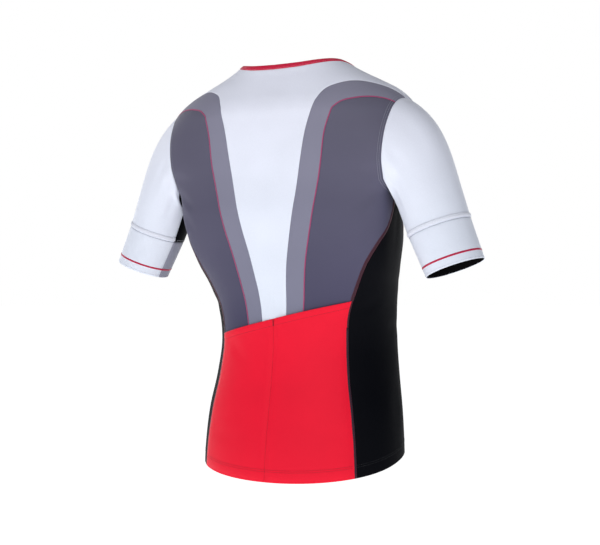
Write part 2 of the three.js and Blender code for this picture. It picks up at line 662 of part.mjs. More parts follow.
// ---------- materials and assembly ----------
const FINISH = {
  white: { color: 0xe4e7f2, roughness: 0.55 },
  light: { color: 0x807f8e, roughness: 0.6 },
  dark: { color: 0x56546c, roughness: 0.6 },
  black: { color: 0x0c0f16, roughness: 0.6 },
  red: { color: 0xd41f34, roughness: 0.55 },
  binding: { color: 0xc8234b, roughness: 0.6 },
  stripe: { color: 0xc21f55, roughness: 0.6 },
};
const group = new THREE.Group();

function add(name, geometry, finish) {
  const material = new THREE.MeshStandardMaterial({ ...FINISH[finish], metalness: 0 });
  const mesh = new THREE.Mesh(geometry, material);
  mesh.name = name;
  group.add(mesh);
}

function addOnForm(name, grid, finish) {
  add(name, wall(grid, normalsOnForm(grid)), finish);
}

addOnForm('back_centre', backCentreGrid(), 'white');
addOnForm('back_lower', backLowerGrid(), 'white');
addOnForm('front_panel', frontGrid(), 'white');
const pair = { left: (grid) => grid, right: mirroredGrid };
for (const [side, place] of Object.entries(pair)) {
  addOnForm(`back_band_${side}`, place(bandGrid()), 'light');
  addOnForm(`back_side_${side}`, place(backSideGrid()), 'dark');
  addOnForm(`side_panel_${side}`, place(sidePanelGrid()), 'black');
  const pocket = pocketGrid(side === 'left' ? 1 : -1);
  const pocketNormals = normalsOnForm(pocket);
  const outerFace = movedOut(pocket, pocketNormals, POCKET_LIFT + CLOTH);
  add(`pocket_${side}`, wall(outerFace, pocketNormals, { seams: false }), 'red');
}
const binding = bindingGrid();
add('neck_binding', wall(binding, normalsOnForm([binding[0], binding[0]]), { closed: true }), 'binding');

const ARM_FINISH = { sleeve: 'white', sleeve_underarm: 'black', cuff: 'white', cuff_underarm: 'light' };
for (const [side, place] of Object.entries(pair)) {
  for (const [piece, range] of Object.entries(ARM_PIECES)) {
    const grid = place(cut(allRows, ...range));
    add(`${piece}_${side}`, wall(grid, place(cut(allNormals, ...range))), ARM_FINISH[piece]);
  }
  const cuffLength = allRows[COUNT.sleeve][0].distanceTo(allRows[COUNT.sleeve + 1][0]);
  const stripeAt = [1 - (STRIPE.rise + STRIPE.width) / cuffLength, 1 - STRIPE.rise / cuffLength];
  const stripe = strip(COUNT.sleeve + 1, stripeAt, [0, lastColumn], STRIPE.thick);
  add(`cuff_stripe_${side}`, wall(place(stripe.grid), place(stripe.normals),
    { thick: STRIPE.thick, closed: true, seams: false }), 'stripe');
  const rowLength = allRows[COUNT.sleeve - 1][0].distanceTo(allRows[COUNT.sleeve][0]);
  const weltAt = [1 - (WELT.rise + WELT.width) / rowLength, 1 - WELT.rise / rowLength];
  const welt = strip(COUNT.sleeve - 1, weltAt, [underEnd, underStart + lastColumn], WELT.thick);
  add(`band_welt_${side}`, wall(place(welt.grid), place(welt.normals),
    { thick: WELT.thick, seams: false }), 'white');
}

export default group;
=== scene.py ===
"""Triathlon top in its worn form, with no wearer: the fine cloth, its seams and stitches.

Every panel lies on one smooth hollow form, the same one as the frame's solids. Lines and
tables below are in millimetres, and become metres where a mesh is made.
The wearer faces -Y, and +X is the wearer's left.
"""
import math

import bpy
import numpy as np
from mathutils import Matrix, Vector


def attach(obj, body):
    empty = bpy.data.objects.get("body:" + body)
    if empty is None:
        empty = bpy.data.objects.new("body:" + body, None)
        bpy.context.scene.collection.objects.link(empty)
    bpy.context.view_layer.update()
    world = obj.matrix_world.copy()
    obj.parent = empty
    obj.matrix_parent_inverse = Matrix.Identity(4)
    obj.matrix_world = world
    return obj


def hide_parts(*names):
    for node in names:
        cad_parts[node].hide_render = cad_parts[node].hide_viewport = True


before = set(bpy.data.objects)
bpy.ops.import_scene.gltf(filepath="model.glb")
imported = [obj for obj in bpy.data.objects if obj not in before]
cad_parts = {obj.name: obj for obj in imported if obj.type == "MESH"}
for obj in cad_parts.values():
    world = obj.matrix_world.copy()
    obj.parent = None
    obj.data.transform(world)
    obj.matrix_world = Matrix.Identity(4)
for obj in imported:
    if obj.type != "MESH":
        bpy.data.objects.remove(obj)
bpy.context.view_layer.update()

MM = 0.001
SETTLE_ROUNDS = 8      # passes that settle a line or a point on the form and the hem at once
EVEN_ROUNDS = 30       # passes that even out a coarse grid
HALVINGS = 40          # halvings that find where the armhole's plane cuts the form
CLOTH = 1.0            # thickness of one layer
SUB = 24               # points on a line for each facet edge of the frame
STEP = 4               # every how many of those points a cloth grid has a row
EDGE_ROWS = (0, 1, 2)  # extra rows by an edge, so that a seam can sink in

HEM_FRONT = -615
HEM_DROP = 66
HEM_CURVE = 1.1
LOWER_SEAM = -470
POCKET_MOUTH = -417
POCKET_SLANT = 0.225
POCKET_LIFT = 2.2      # outer face of a pocket above the back, at its mouth
POCKET_SEWN = 0.7      # the same along its sewn edges
POCKET_FOLD = 11       # height of the folded band at the pocket mouth
ARMHOLE = {"x": 213, "y": 4, "z": -128, "lean": 0.105, "deep": 78, "below": 84}
SLEEVE_REACH = 1.25
SLEEVE_BEND = 0.7      # share of the sleeve that lies above the upper-arm ring
SHOULDER_SLOPE = 28
ARM_SLOPE = 24
STRIPE_RISE = 13
STRIPE_WIDTH = 3.2
WELT_RISE = 1.5
WELT_WIDTH = 7
BINDING_WIDTH = 8

# z, half width, depth behind and before the side line, place of the side line, squareness
TRUNK = np.array([
    (40, 60, 40, 52, 2, 2.0), (12, 88, 50, 62, 0, 2.0), (0, 106, 54, 68, 0, 2.0),
    (-14, 131, 58, 74, 0, 2.1), (-31, 167, 64, 81, 1, 2.2), (-45, 195, 69, 86, 2, 2.3),
    (-58, 213, 73, 90, 4, 2.4), (-75, 227, 74, 97, 8, 2.5), (-95, 238, 71, 108, 12, 2.6),
    (-125, 250, 64, 125, 20, 2.6), (-160, 246, 56, 143, 28, 2.5), (-187, 220, 51, 153, 32, 2.5),
    (-210, 206, 51, 157, 32, 2.45), (-240, 203, 53, 156, 30, 2.4), (-270, 199, 57, 150, 23, 2.4),
    (-300, 194, 64, 139, 11, 2.35), (-330, 186, 73, 124, -3, 2.3), (-360, 175, 86, 107, -22, 2.3),
    (-390, 167, 95, 92, -37, 2.3), (-450, 161, 107, 82, -51, 2.3), (-510, 167, 107, 90, -46, 2.3),
    (-570, 178, 105, 102, -35, 2.25), (-632, 184, 110, 105, -31, 2.2),
    (-700, 185, 114, 105, -30, 2.2),
], float)

# x, y, z, lean of the ring in degrees, half width, half depth: upper arm, band seam, cuff edge
RINGS = np.array([
    (266, 8, -228, 17, 53.5, 46), (284, 10, -272.5, 19, 52.5, 41.5), (313, 14, -334, 19, 49.5, 39),
], float)

# Seam lines on the wearer's left, from the bottom up.
V_EDGE = [(23, 54, LOWER_SEAM), (25, 56, -400), (34, 70, -330), (49, 79, -265), (60, 82, -215),
          (70, 83, -160), (80, 82, -110), (94, 76, -66)]
V_ARCH = [(94, 76, -66), (106, 66, -47), (124, 56, -38), (150, 40, -34), (182, 24, -43),
          (219.5, 4, -65)]
BAND_EDGE = [(50, 52, LOWER_SEAM), (57, 53, -400), (70, 67, -325), (86, 76, -265), (98, 80, -215),
             (108, 81, -165), (115, 80, -115), (126, 75, -80)]
BAND_ARCH = [(126, 75, -80), (140, 71, -70), (158, 64, -66), (185, 52, -65), (218, 33, -73)]
BACK_SEAM = [(123, 26, LOWER_SEAM), (126, 28, -412), (143, 31, -368), (166, 38, -326),
             (187, 36, -294), (200, 20, -256), (205, 8, -213)]
BACK_SEAM_LOW = [(150, 42, -690), (145, 40, -613), (138, 36, -565), (129, 31, -517),
                 (123, 26, LOWER_SEAM)]
FRONT_SEAM = [(132, -104, LOWER_SEAM), (140, -102, -412), (154, -98, -368), (172, -86, -326),
              (187, -64, -290), (200, -30, -250), (203, -18, -213)]
FRONT_SEAM_LOW = [(152, -96, -690), (148, -98, -613), (142, -101, -565), (134, -103, -517),
                  (132, -104, LOWER_SEAM)]
NECK_BACK = [(0, 55, -9), (27, 54, -8), (52, 49, -6), (77, 37, -2), (94, 20, 1), (105, -8, 0)]
NECK_FRONT = [(105, -8, 0), (103, -32, -12), (91, -58, -34), (67, -78, -56), (35, -90, -70),
              (0, -94, -75)]
SHOULDER = [(105, -8, 0), (145, -8, -20), (185, -4, -40), (219.5, 4, -65)]
CENTRE_BACK = [(0, 56, LOWER_SEAM), (0, 70, -330), (0, 82, -215), (0, 82, -66)]
CENTRE_NAPE = [(0, 82, -66), (0, 70, -36), (0, 55, -9)]
CENTRE_FRONT = [(0, -133, -450), (0, -126, -250)]

COUNT = {"seam": 7, "seam_low": 5, "band": 2, "arch_v": 6, "arch_band": 5, "edge_v": 13, "edge_band": 14,
         "arm_back": 7, "arm_front": 8, "side": 5, "shoulder": 4, "neck_back": 5, "neck_front": 6,
         "sleeve": 7, "cuff": 2}
ARMHOLE_BAND = 30
ARMHOLE_SIDE = (175, 197)
UNDERARM = (163, 232)
UNDER_START = COUNT["band"] + COUNT["arm_back"] - 1
UNDER_END = COUNT["band"] + COUNT["arm_back"] + COUNT["side"] + 1


# ---------- the form ----------
HEIGHTS = TRUNK[:, 0]
SPANS = np.diff(HEIGHTS)
RISES = np.diff(TRUNK[:, 1:], axis=0) / SPANS[:, None]
SLOPES = np.concatenate([
    RISES[:1],
    (RISES[:-1] * SPANS[1:, None] + RISES[1:] * SPANS[:-1, None]) / (SPANS[:-1] + SPANS[1:])[:, None],
    RISES[-1:],
])


def hermite(start, start_slope, end, end_slope, t):
    return (start * (2 * t**3 - 3 * t**2 + 1) + start_slope * (t**3 - 2 * t**2 + t)
            + end * (3 * t**2 - 2 * t**3) + end_slope * (t**3 - t**2))


def section(z):
    """Half width, back, front, side line and squareness at each height."""
    height = np.clip(z, HEIGHTS[-1], HEIGHTS[0])
    row = np.clip(np.searchsorted(-HEIGHTS, -height, side="right") - 1, 0, len(HEIGHTS) - 2)
    span = SPANS[row][..., None]
    t = (height - HEIGHTS[row])[..., None] / span
    values = TRUNK[:, 1:]
    found = hermite(values[row], SLOPES[row] * span, values[row + 1], SLOPES[row + 1] * span, t)
    return [found[..., k] for k in range(found.shape[-1])]


def form(p):
    """Below 0 inside the form, 0 on it, above 0 outside."""
    half, back, front, side, square = section(p[..., 2])
    y = p[..., 1] - side
    depth = np.where(y > 0, back, front)
    return ((np.abs(p[..., 0]) / half)**square + (np.abs(y) / depth)**square)**(1 / square) - 1


def gradient(p):
    step = 0.5
    slopes = [(form(p + step * axis) - form(p - step * axis)) / (2 * step) for axis in np.eye(3)]
    return np.stack(slopes, axis=-1)


def on_form(p, rounds=6):
    p = np.array(p, float)
    for _ in range(rounds):
        g = gradient(p)
        p = p - (form(p) / (g * g).sum(-1))[..., None] * g
    return p


def unit(v):
    return v / np.maximum(np.linalg.norm(v, axis=-1, keepdims=True), 1e-12)


def form_normal(p):
    return unit(gradient(p))


# ---------- lines ----------
def spline(rows, count):
    """count + 1 points, evenly spaced along a centripetal Catmull-Rom curve through the rows."""
    points = np.array(rows, float)
    ends = [2 * points[0] - points[1], *points, 2 * points[-1] - points[-2]]
    fine = [points[0]]
    for a, b, c, d in zip(ends, ends[1:], ends[2:], ends[3:]):
        before, across, after = (np.sqrt(np.linalg.norm(q - p)) for p, q in ((a, b), (b, c), (c, d)))
        leave = ((b - a) / before - (c - a) / (before + across) + (c - b) / across) * across
        reach = ((c - b) / across - (d - b) / (across + after) + (d - c) / after) * across
        t = np.linspace(0, 1, 41)[1:, None]
        fine.extend(hermite(b, leave, c, reach, t))
    return spaced(np.array(fine), count)


def lengths(line):
    return np.concatenate([[0], np.cumsum(np.linalg.norm(np.diff(line, axis=0), axis=1))])


def spaced(line, count):
    """The same line with count + 1 evenly spaced points."""
    along = lengths(line)
    at = np.linspace(0, along[-1], count + 1)
    return np.stack([np.interp(at, along, line[:, k]) for k in range(3)], axis=1)


def seam_line(rows, count):
    return on_form(spline(rows, count * SUB))


def level_section(z):
    """The same five values at one height, as plain numbers."""
    return [float(value) for value in section(np.array(float(z)))]


def hem_height(p):
    half, back, _, side, _ = section(np.full(p.shape[:-1], float(HEM_FRONT)))
    turn = np.arctan2((p[..., 1] - side) / back, np.abs(p[..., 0]) / half)
    return HEM_FRONT - HEM_DROP * ((1 + np.sin(turn)) / 2)**HEM_CURVE


def seam_from_hem(rows, count):
    fine = on_form(spline(rows, 400))
    above = fine[:, 2] > hem_height(fine)
    first = int(np.argmax(above))
    a, b = fine[first - 1], fine[first]
    low, high = hem_height(a) - a[2], b[2] - hem_height(b)
    start = on_form(a + (b - a) * low / (low + high))
    return on_form(spaced(np.vstack([start, fine[first:]]), count * SUB))


def circle_at_hem(half, side, turn):
    level = np.full(turn.shape, float(HEM_FRONT))
    return np.stack([half * np.cos(turn), side + half * np.sin(turn), level], axis=1)


def hem_line(start, end, count, around):
    half, _, _, side, _ = level_section(HEM_FRONT)
    first, last = (math.atan2(p[1] - side, p[0]) for p in (start, end))
    if around > 0 and last < first:
        last += 2 * math.pi
    if around < 0 and last > first:
        last -= 2 * math.pi
    turn = np.linspace(first, last, count * SUB + 1)
    p = circle_at_hem(half, side, turn)
    for _ in range(SETTLE_ROUNDS):
        p[:, 2] = hem_height(p)
        reach = 1 + form(p)
        p[:, 0] /= reach
        p[:, 1] = side + (p[:, 1] - side) / reach
    p[0], p[-1] = start, end
    return p


def armhole_points(degrees):
    """Where a leaning plane cuts the form, rounded off below. 0 is the shoulder tip, 90 the back."""
    t = np.radians(degrees)
    direction = np.stack([ARMHOLE["lean"] * np.cos(t), np.sin(t), np.cos(t)], axis=-1)
    centre = np.array([ARMHOLE["x"], ARMHOLE["y"], ARMHOLE["z"]], float)
    inside = np.zeros(t.shape)
    outside = 1 / np.hypot(np.sin(t) / ARMHOLE["deep"], np.cos(t) / ARMHOLE["below"])
    for _ in range(HALVINGS):
        middle = (inside + outside) / 2
        within = form(centre + direction * middle[:, None]) < 0
        inside = np.where(within, middle, inside)
        outside = np.where(within, outside, middle)
    return on_form(centre + direction * inside[:, None], 10)


def divided(marks, counts):
    """Even steps between each two marks, SUB of them for each of its facets."""
    parts = [np.linspace(a, b, n * SUB + 1)[:-1] for a, b, n in zip(marks, marks[1:], counts)]
    return np.concatenate([*parts, [marks[-1]]])


ARM_ANGLES = divided((0, ARMHOLE_BAND, *ARMHOLE_SIDE, 360),
                     (COUNT["band"], COUNT["arm_back"], COUNT["side"], COUNT["arm_front"]))
armhole = armhole_points(ARM_ANGLES)
armhole[-1] = armhole[0]
BAND_END = COUNT["band"] * SUB
SIDE_START = BAND_END + COUNT["arm_back"] * SUB
SIDE_END = SIDE_START + COUNT["side"] * SUB
tip = armhole[0]


def ending_at(line, point):
    """The line with its last stretch drawn over to a point."""
    ramp = np.clip(np.arange(len(line)) - (len(line) - 1 - SUB), 0, SUB)[:, None] / SUB
    return line + (np.asarray(point) - line[-1]) * ramp**2


def starting_at(line, point):
    return ending_at(line[::-1], point)[::-1]


def joined(*lines):
    return np.concatenate([lines[0], *(line[1:] for line in lines[1:])])


def mirrored(points):
    return points * np.array([-1, 1, 1])


edge_v = seam_line(V_EDGE, COUNT["edge_v"])
arch_v = ending_at(starting_at(seam_line(V_ARCH, COUNT["arch_v"]), edge_v[-1]), tip)
edge_band = seam_line(BAND_EDGE, COUNT["edge_band"])
arch_band = ending_at(starting_at(seam_line(BAND_ARCH, COUNT["arch_band"]), edge_band[-1]),
                      armhole[BAND_END])
back_seam = ending_at(seam_line(BACK_SEAM, COUNT["seam"]), armhole[SIDE_START])
back_seam_low = ending_at(seam_from_hem(BACK_SEAM_LOW, COUNT["seam_low"]), back_seam[0])
front_seam = ending_at(seam_line(FRONT_SEAM, COUNT["seam"]), armhole[SIDE_END])
front_seam_low = ending_at(seam_from_hem(FRONT_SEAM_LOW, COUNT["seam_low"]), front_seam[0])
neck_back = seam_line(NECK_BACK, COUNT["neck_back"])
neck_front = starting_at(seam_line(NECK_FRONT, COUNT["neck_front"]), neck_back[-1])
shoulder = ending_at(starting_at(seam_line(SHOULDER, COUNT["shoulder"]), neck_back[-1]), tip)


def on_form_level(p):
    side = section(p[..., 2])[3]
    reach = 1 + form(p)
    return np.stack([p[..., 0] / reach, side + (p[..., 1] - side) / reach, p[..., 2]], axis=-1)


def level_line(start, end, count):
    t = np.linspace(0, 1, count * SUB + 1)[:, None]
    return on_form_level(start + (end - start) * t)


# ---------- grids ----------
def stations(count):
    """Places of a grid's rows on a line of count facets, closer by its two ends."""
    last = count * SUB
    inner = range(STEP, last, STEP)
    near = [*EDGE_ROWS, *(last - k for k in EDGE_ROWS)]
    return np.array(sorted({*inner, *near}))


def linear(count, at):
    """Matrix that takes count + 1 coarse values to the stations."""
    t = at / SUB
    low = np.minimum(t.astype(int), count - 1)
    matrix = np.zeros((len(at), count + 1))
    matrix[np.arange(len(at)), low] = 1 - (t - low)
    matrix[np.arange(len(at)), low + 1] += t - low
    return matrix


def coarse_patch(bottom, top, left, right, yoke):
    across, up = len(bottom) - 1, len(left) - 1
    u = np.linspace(0, 1, across + 1)[None, :, None]
    rows = np.arange(up + 1)[:, None, None]

    def bulge(edge):
        return (edge - edge[0] - (edge[-1] - edge[0]) * u[0])[None]

    grid = (left[:, None] * (1 - u) + right[:, None] * u + bulge(bottom) * (1 - rows / up)
            + bulge(top) * np.maximum(0, (rows - yoke) / (up - yoke)))
    grid[1:-1, 1:-1] = on_form(grid[1:-1, 1:-1])
    first = yoke + 2 if yoke else 1
    for _ in range(EVEN_ROUNDS):
        middle = (grid[first - 1:-2, 1:-1] + grid[first + 1:, 1:-1]
                  + grid[first:-1, :-2] + grid[first:-1, 2:]) / 4
        grid[first:-1, 1:-1] = on_form(middle, 2)
    return grid


def patch(bottom, top, left, right, yoke=0):
    """Fine grid on the form between four edges, with its rows at the stations of left and right."""
    coarse = coarse_patch(bottom[::SUB], top[::SUB], left[::SUB], right[::SUB], yoke)
    up, across = coarse.shape[0] - 1, coarse.shape[1] - 1
    v_at, u_at = stations(up), stations(across)
    v_matrix, u_matrix = linear(up, v_at), linear(across, u_at)
    fine = np.einsum("ij,jkc,lk->ilc", v_matrix, coarse, u_matrix)
    reach = 1.5 * SUB

    def fading(at, end):
        return np.clip(1 - np.abs(at - end) / reach, 0, 1)

    edges = [(left, v_at, v_matrix), (right, v_at, v_matrix),
             (bottom, u_at, u_matrix), (top, u_at, u_matrix)]
    gaps = [line[at] - matrix @ line[::SUB] for line, at, matrix in edges]
    fine += gaps[0][:, None] * fading(u_at, 0)[None, :, None]
    fine += gaps[1][:, None] * fading(u_at, u_at[-1])[None, :, None]
    fine += gaps[2][None] * fading(v_at, 0)[:, None, None]
    fine += gaps[3][None] * fading(v_at, v_at[-1])[:, None, None]
    for _ in range(6):
        middle = (fine[:-2, 1:-1] + fine[2:, 1:-1] + fine[1:-1, :-2] + fine[1:-1, 2:]) / 4
        fine[3:-3, 3:-3] = middle[2:-2, 2:-2]
    fine[1:-1, 1:-1] = on_form(fine[1:-1, 1:-1], 4)
    fine[:, 0], fine[:, -1] = left[v_at], right[v_at]
    fine[0], fine[-1] = bottom[u_at], top[u_at]
    return fine


def both_halves(half):
    return np.concatenate([mirrored(half[:, :0:-1]), half], axis=1)


def back_centre_grid():
    low = seam_line(CENTRE_BACK, COUNT["edge_v"])
    high = starting_at(seam_line(CENTRE_NAPE, COUNT["arch_v"]), low[-1])
    top = joined(neck_back, shoulder)
    bottom = level_line(low[0], edge_v[0], COUNT["neck_back"] + COUNT["shoulder"])
    middle = ending_at(joined(low, high), top[0])
    return both_halves(patch(bottom, top, middle, joined(edge_v, arch_v), COUNT["edge_v"]))


def band_grid():
    inner, outer = joined(edge_v, arch_v), joined(edge_band, arch_band)
    return patch(level_line(inner[0], outer[0], COUNT["band"]), armhole[:BAND_END + 1], inner, outer)


def back_side_grid():
    outer = joined(back_seam, armhole[BAND_END:SIDE_START + 1][::-1])
    return patch(level_line(edge_band[0], back_seam[0], COUNT["arch_band"]), arch_band, edge_band, outer)


def back_lower_grid():
    half_count = COUNT["neck_back"] + COUNT["shoulder"] + COUNT["band"] + COUNT["arch_band"]
    top_right = level_line(np.array([0, 56, LOWER_SEAM], float), back_seam[0], half_count)
    top = joined(mirrored(top_right)[::-1], top_right)
    hem = hem_line(mirrored(back_seam_low[0]), back_seam_low[0], 2 * half_count, -1)
    return patch(hem, top, mirrored(back_seam_low), back_seam_low)


def side_panel_grid():
    back, front = joined(back_seam_low, back_seam), joined(front_seam_low, front_seam)
    hem = hem_line(back[0], front[0], COUNT["side"], -1)
    return patch(hem, armhole[SIDE_START:SIDE_END + 1], back, front)


def front_grid():
    left = joined(front_seam_low, front_seam, armhole[SIDE_END:])
    top = joined(shoulder[::-1], neck_front)
    _, _, front, side, _ = level_section(HEM_FRONT)
    middle_low = np.array([0, side - front, HEM_FRONT])
    hem = hem_line(left[0], middle_low, COUNT["shoulder"] + COUNT["neck_front"], -1)
    middle = seam_line([middle_low, *CENTRE_FRONT, top[-1]], (len(left) - 1) // SUB)
    middle = ending_at(starting_at(middle, middle_low), top[-1])
    return both_halves(patch(hem[::-1], top[::-1], middle, left))


def seam_x(z):
    """How far out the back seam lies at each height."""
    seam = joined(back_seam_low, back_seam)
    return np.interp(z, seam[:, 2], seam[:, 0])


def back_point(x, z):
    half, back, _, side, square = section(z)
    return np.stack([x, side + back * (1 - (np.abs(x) / half)**square)**(1 / square), z], axis=-1)


def pocket_point(side, share, rise):
    """share goes from the centre seam to the side seam, and rise from the hem to the mouth."""
    mouth = np.full(share.shape, float(POCKET_MOUTH))
    for _ in range(10):
        mouth = POCKET_MOUTH - POCKET_SLANT * side * share * seam_x(mouth)
    z = np.full(share.shape, float(HEM_FRONT - HEM_DROP))
    for _ in range(SETTLE_ROUNDS):
        hem = hem_height(back_point(side * share * seam_x(z), z))
        z = hem + (mouth - hem) * rise
    return back_point(side * share * seam_x(z), z)


def pocket_grid(side):
    share = stations(6) / (6 * SUB)
    rise = stations(10) / (10 * SUB)
    share, rise = np.meshgrid(share, rise)
    return pocket_point(side, share, rise)


# ---------- sleeves ----------
def ring_angles():
    column = np.arange(len(armhole)) / SUB
    last = column[-1]
    return np.interp(column, [0, UNDER_START, UNDER_END, last], [0, *UNDERARM, 360])


RING_ANGLES = ring_angles()


def ring_points(ring, degrees):
    t, lean = np.radians(degrees), math.radians(ring[3])
    out = np.array([math.cos(lean), 0, math.sin(lean)])
    back = np.array([0, 1, 0])
    return ring[:3] + ring[4] * np.cos(t)[:, None] * out + ring[5] * np.sin(t)[:, None] * back


def leaving():
    """Direction in which each lengthwise line leaves the armhole."""
    loop = armhole[:-1]
    along = np.roll(loop, -SUB, axis=0) - np.roll(loop, SUB, axis=0)
    along = np.vstack([along, along[:1]])
    outward = unit(np.cross(along, form_normal(armhole)))
    slope, hang = math.radians(SHOULDER_SLOPE), math.radians(ARM_SLOPE)
    over = np.array([math.cos(slope), 0, -math.sin(slope)])
    down = np.array([math.sin(hang), 0, -math.cos(hang)])
    height = np.cos(np.radians(ARM_ANGLES))[:, None]
    mixed = outward + (down - outward) * (1 - height) / 2
    return unit(mixed + (over - mixed) * np.maximum(0, height)**2)


def sleeve_rows():
    """Rings of the left sleeve from the armhole to the cuff edge, and each ring's place in facets."""
    upper, band, cuff = (ring_points(ring, RING_ANGLES) for ring in RINGS)
    away = leaving()
    reach = np.linalg.norm(armhole - upper, axis=1, keepdims=True)
    through, onward = unit(band - upper), unit(cuff - band)
    gap = np.linalg.norm(band - upper, axis=1, keepdims=True)
    rows, places = [], []
    for station in stations(COUNT["sleeve"]):
        v = station / (COUNT["sleeve"] * SUB)
        if v <= SLEEVE_BEND:
            rows.append(hermite(armhole, away * reach * SLEEVE_REACH, upper, through * reach,
                                v / SLEEVE_BEND))
        else:
            rows.append(hermite(upper, through * gap, band, (onward + through) / 2 * gap,
                                (v - SLEEVE_BEND) / (1 - SLEEVE_BEND)))
        places.append(station)
    for station in stations(COUNT["cuff"])[1:]:
        rows.append(band + (cuff - band) * station / (COUNT["cuff"] * SUB))
        places.append(COUNT["sleeve"] * SUB + station)
    return np.array(rows), np.array(places)


ARM_ROWS, ARM_PLACES = sleeve_rows()
BAND_ROW = int(np.flatnonzero(ARM_PLACES == COUNT["sleeve"] * SUB)[0])


def ring_normals(rows):
    loop = rows[:, :-1]
    around = np.roll(loop, -SUB // 4, axis=1) - np.roll(loop, SUB // 4, axis=1)
    down = np.gradient(loop, axis=0)
    normal = unit(np.cross(around, down))
    centre = loop.mean(axis=1, keepdims=True)
    turned = np.sign((normal * (loop - centre)).sum(-1, keepdims=True))
    normal = normal * turned
    return np.concatenate([normal, normal[:, :1]], axis=1)


ARM_NORMALS = ring_normals(ARM_ROWS)


# ---------- relief: the creases ----------
# Each is a curve of three points near the cloth, its depth (below 0 is a ridge) and its width.
BACK_CREASES = [
    ((196, 40, -196), (176, 66, -222), (150, 76, -232), 1.6, 11),
    ((200, 30, -214), (178, 58, -252), (158, 68, -276), 1.3, 13),
    ((204, 44, -172), (182, 66, -186), (160, 76, -184), 1.0, 12),
    ((-198, 40, -202), (-180, 62, -228), (-158, 74, -246), 1.5, 12),
    ((-202, 30, -220), (-186, 50, -262), (-170, 62, -292), 1.2, 12),
    ((-204, 46, -176), (-186, 66, -184), (-166, 74, -178), 0.9, 11),
    ((2, 60, -414), (3, 62, -392), (1, 66, -366), 0.9, 5),
    ((-16, 58, -416), (-13, 62, -398), (-12, 66, -380), 0.6, 6),
    ((18, 58, -418), (17, 62, -402), (19, 66, -384), 0.5, 6),
    ((-60, 80, -120), (-20, 84, -128), (30, 84, -122), 0.5, 16),
    ((140, 40, -398), (112, 52, -410), (78, 58, -408), 0.9, 15),
    ((-140, 40, -372), (-118, 50, -384), (-88, 58, -382), 0.9, 14),
    ((60, 56, -372), (20, 64, -366), (-26, 64, -372), 0.5, 17),
]
SIDE_CREASES = [
    ((160, -8, -380), (150, 10, -392), (132, 26, -396), 1.4, 12),
    ((168, -34, -402), (160, -52, -410), (146, -84, -404), 1.3, 13),
    ((-162, -8, -384), (-152, 10, -398), (-134, 26, -404), 1.5, 12),
    ((-164, -40, -424), (-158, -60, -430), (-142, -92, -424), 1.2, 14),
    ((-170, -20, -346), (-166, -46, -354), (-156, -74, -350), 1.0, 12),
    ((196, 2, -236), (190, 4, -268), (180, 2, -304), 1.0, 11),
    ((-196, 0, -232), (-192, -4, -270), (-184, -8, -310), 1.1, 11),
    ((-170, -60, -520), (-176, -40, -560), (-180, -34, -610), 0.8, 18),
]
FRONT_CREASES = [
    ((196, -50, -206), (172, -88, -216), (138, -112, -214), 1.5, 13),
    ((198, -42, -226), (176, -82, -250), (150, -104, -262), 1.2, 13),
    ((-196, -52, -204), (-174, -88, -210), (-142, -110, -204), 1.4, 12),
    ((-198, -44, -222), (-180, -80, -244), (-156, -102, -262), 1.3, 14),
    ((118, -112, -372), (70, -126, -386), (20, -130, -384), 1.0, 17),
    ((-126, -110, -388), (-84, -124, -402), (-34, -130, -404), 1.1, 15),
    ((88, -122, -440), (48, -130, -448), (0, -132, -444), 0.7, 16),
    ((70, -84, -60), (84, -88, -92), (104, -96, -128), 0.7, 14),
    ((-72, -84, -62), (-88, -90, -96), (-112, -98, -126), 0.8, 13),
    ((40, -134, -560), (44, -136, -600), (40, -136, -640), 0.6, 16),
]
POCKET_CREASES = [
    ((104, 44, -446), (80, 52, -470), (54, 56, -488), 1.0, 14),
    ((-116, 38, -404), (-98, 48, -436), (-74, 54, -462), 1.1, 13),
    ((-6, 58, -470), (-8, 58, -540), (-6, 60, -620), 0.5, 16),
    ((128, 40, -600), (100, 56, -612), (64, 66, -610), 0.7, 16),
    ((-132, 40, -590), (-110, 54, -600), (-80, 64, -598), 0.6, 15),
]
SLEEVE_CREASES = [
    ((222, 58, -150), (240, 62, -170), (256, 58, -200), 1.6, 10),
    ((214, 52, -176), (234, 58, -204), (252, 54, -240), 1.5, 9),
    ((212, 40, -196), (226, 44, -226), (240, 44, -258), 1.2, 8),
    ((252, 48, -104), (274, 48, -138), (290, 44, -180), 1.0, 15),
    ((218, -34, -182), (236, -42, -212), (254, -40, -246), 1.4, 10),
    ((226, -60, -150), (248, -56, -176), (268, -46, -206), 1.3, 12),
    ((300, 10, -206), (306, 30, -236), (300, 40, -262), 0.8, 12),
    ((262, 52, -286), (282, 54, -300), (300, 48, -306), 0.5, 10),
]


def quadratic(a, b, c, count):
    t = np.linspace(0, 1, count)[:, None]
    a, b, c = (np.array(p, float) for p in (a, b, c))
    return a * (1 - t)**2 + (2 * b - (a + c) / 2) * 2 * t * (1 - t) + c * t**2


def relief(p, creases):
    """How far the creases move each point out, in millimetres."""
    flat = p.reshape(-1, 3)
    out = np.zeros(len(flat))
    for a, b, c, depth, width in creases:
        line = quadratic(a, b, c, 25)
        reach = 4 * width + np.ptp(line, axis=0) / 2 + 12
        near = np.flatnonzero((np.abs(flat - line.mean(axis=0)) < reach).all(axis=1))
        if not len(near):
            continue
        gaps = np.linalg.norm(flat[near, None] - line[None], axis=2)
        at = gaps.argmin(axis=1) / (len(line) - 1)
        ratio = gaps.min(axis=1) / width
        end = np.sin(np.pi * np.clip(at, 0.02, 0.98))**0.7
        out[near] += -depth * end * (1 - 0.9 * ratio**2) * np.exp(-ratio**2)
    return out.reshape(p.shape[:-1])


TRUNK_CREASES = BACK_CREASES + SIDE_CREASES + FRONT_CREASES


def trunk_relief(p):
    return relief(p, TRUNK_CREASES)


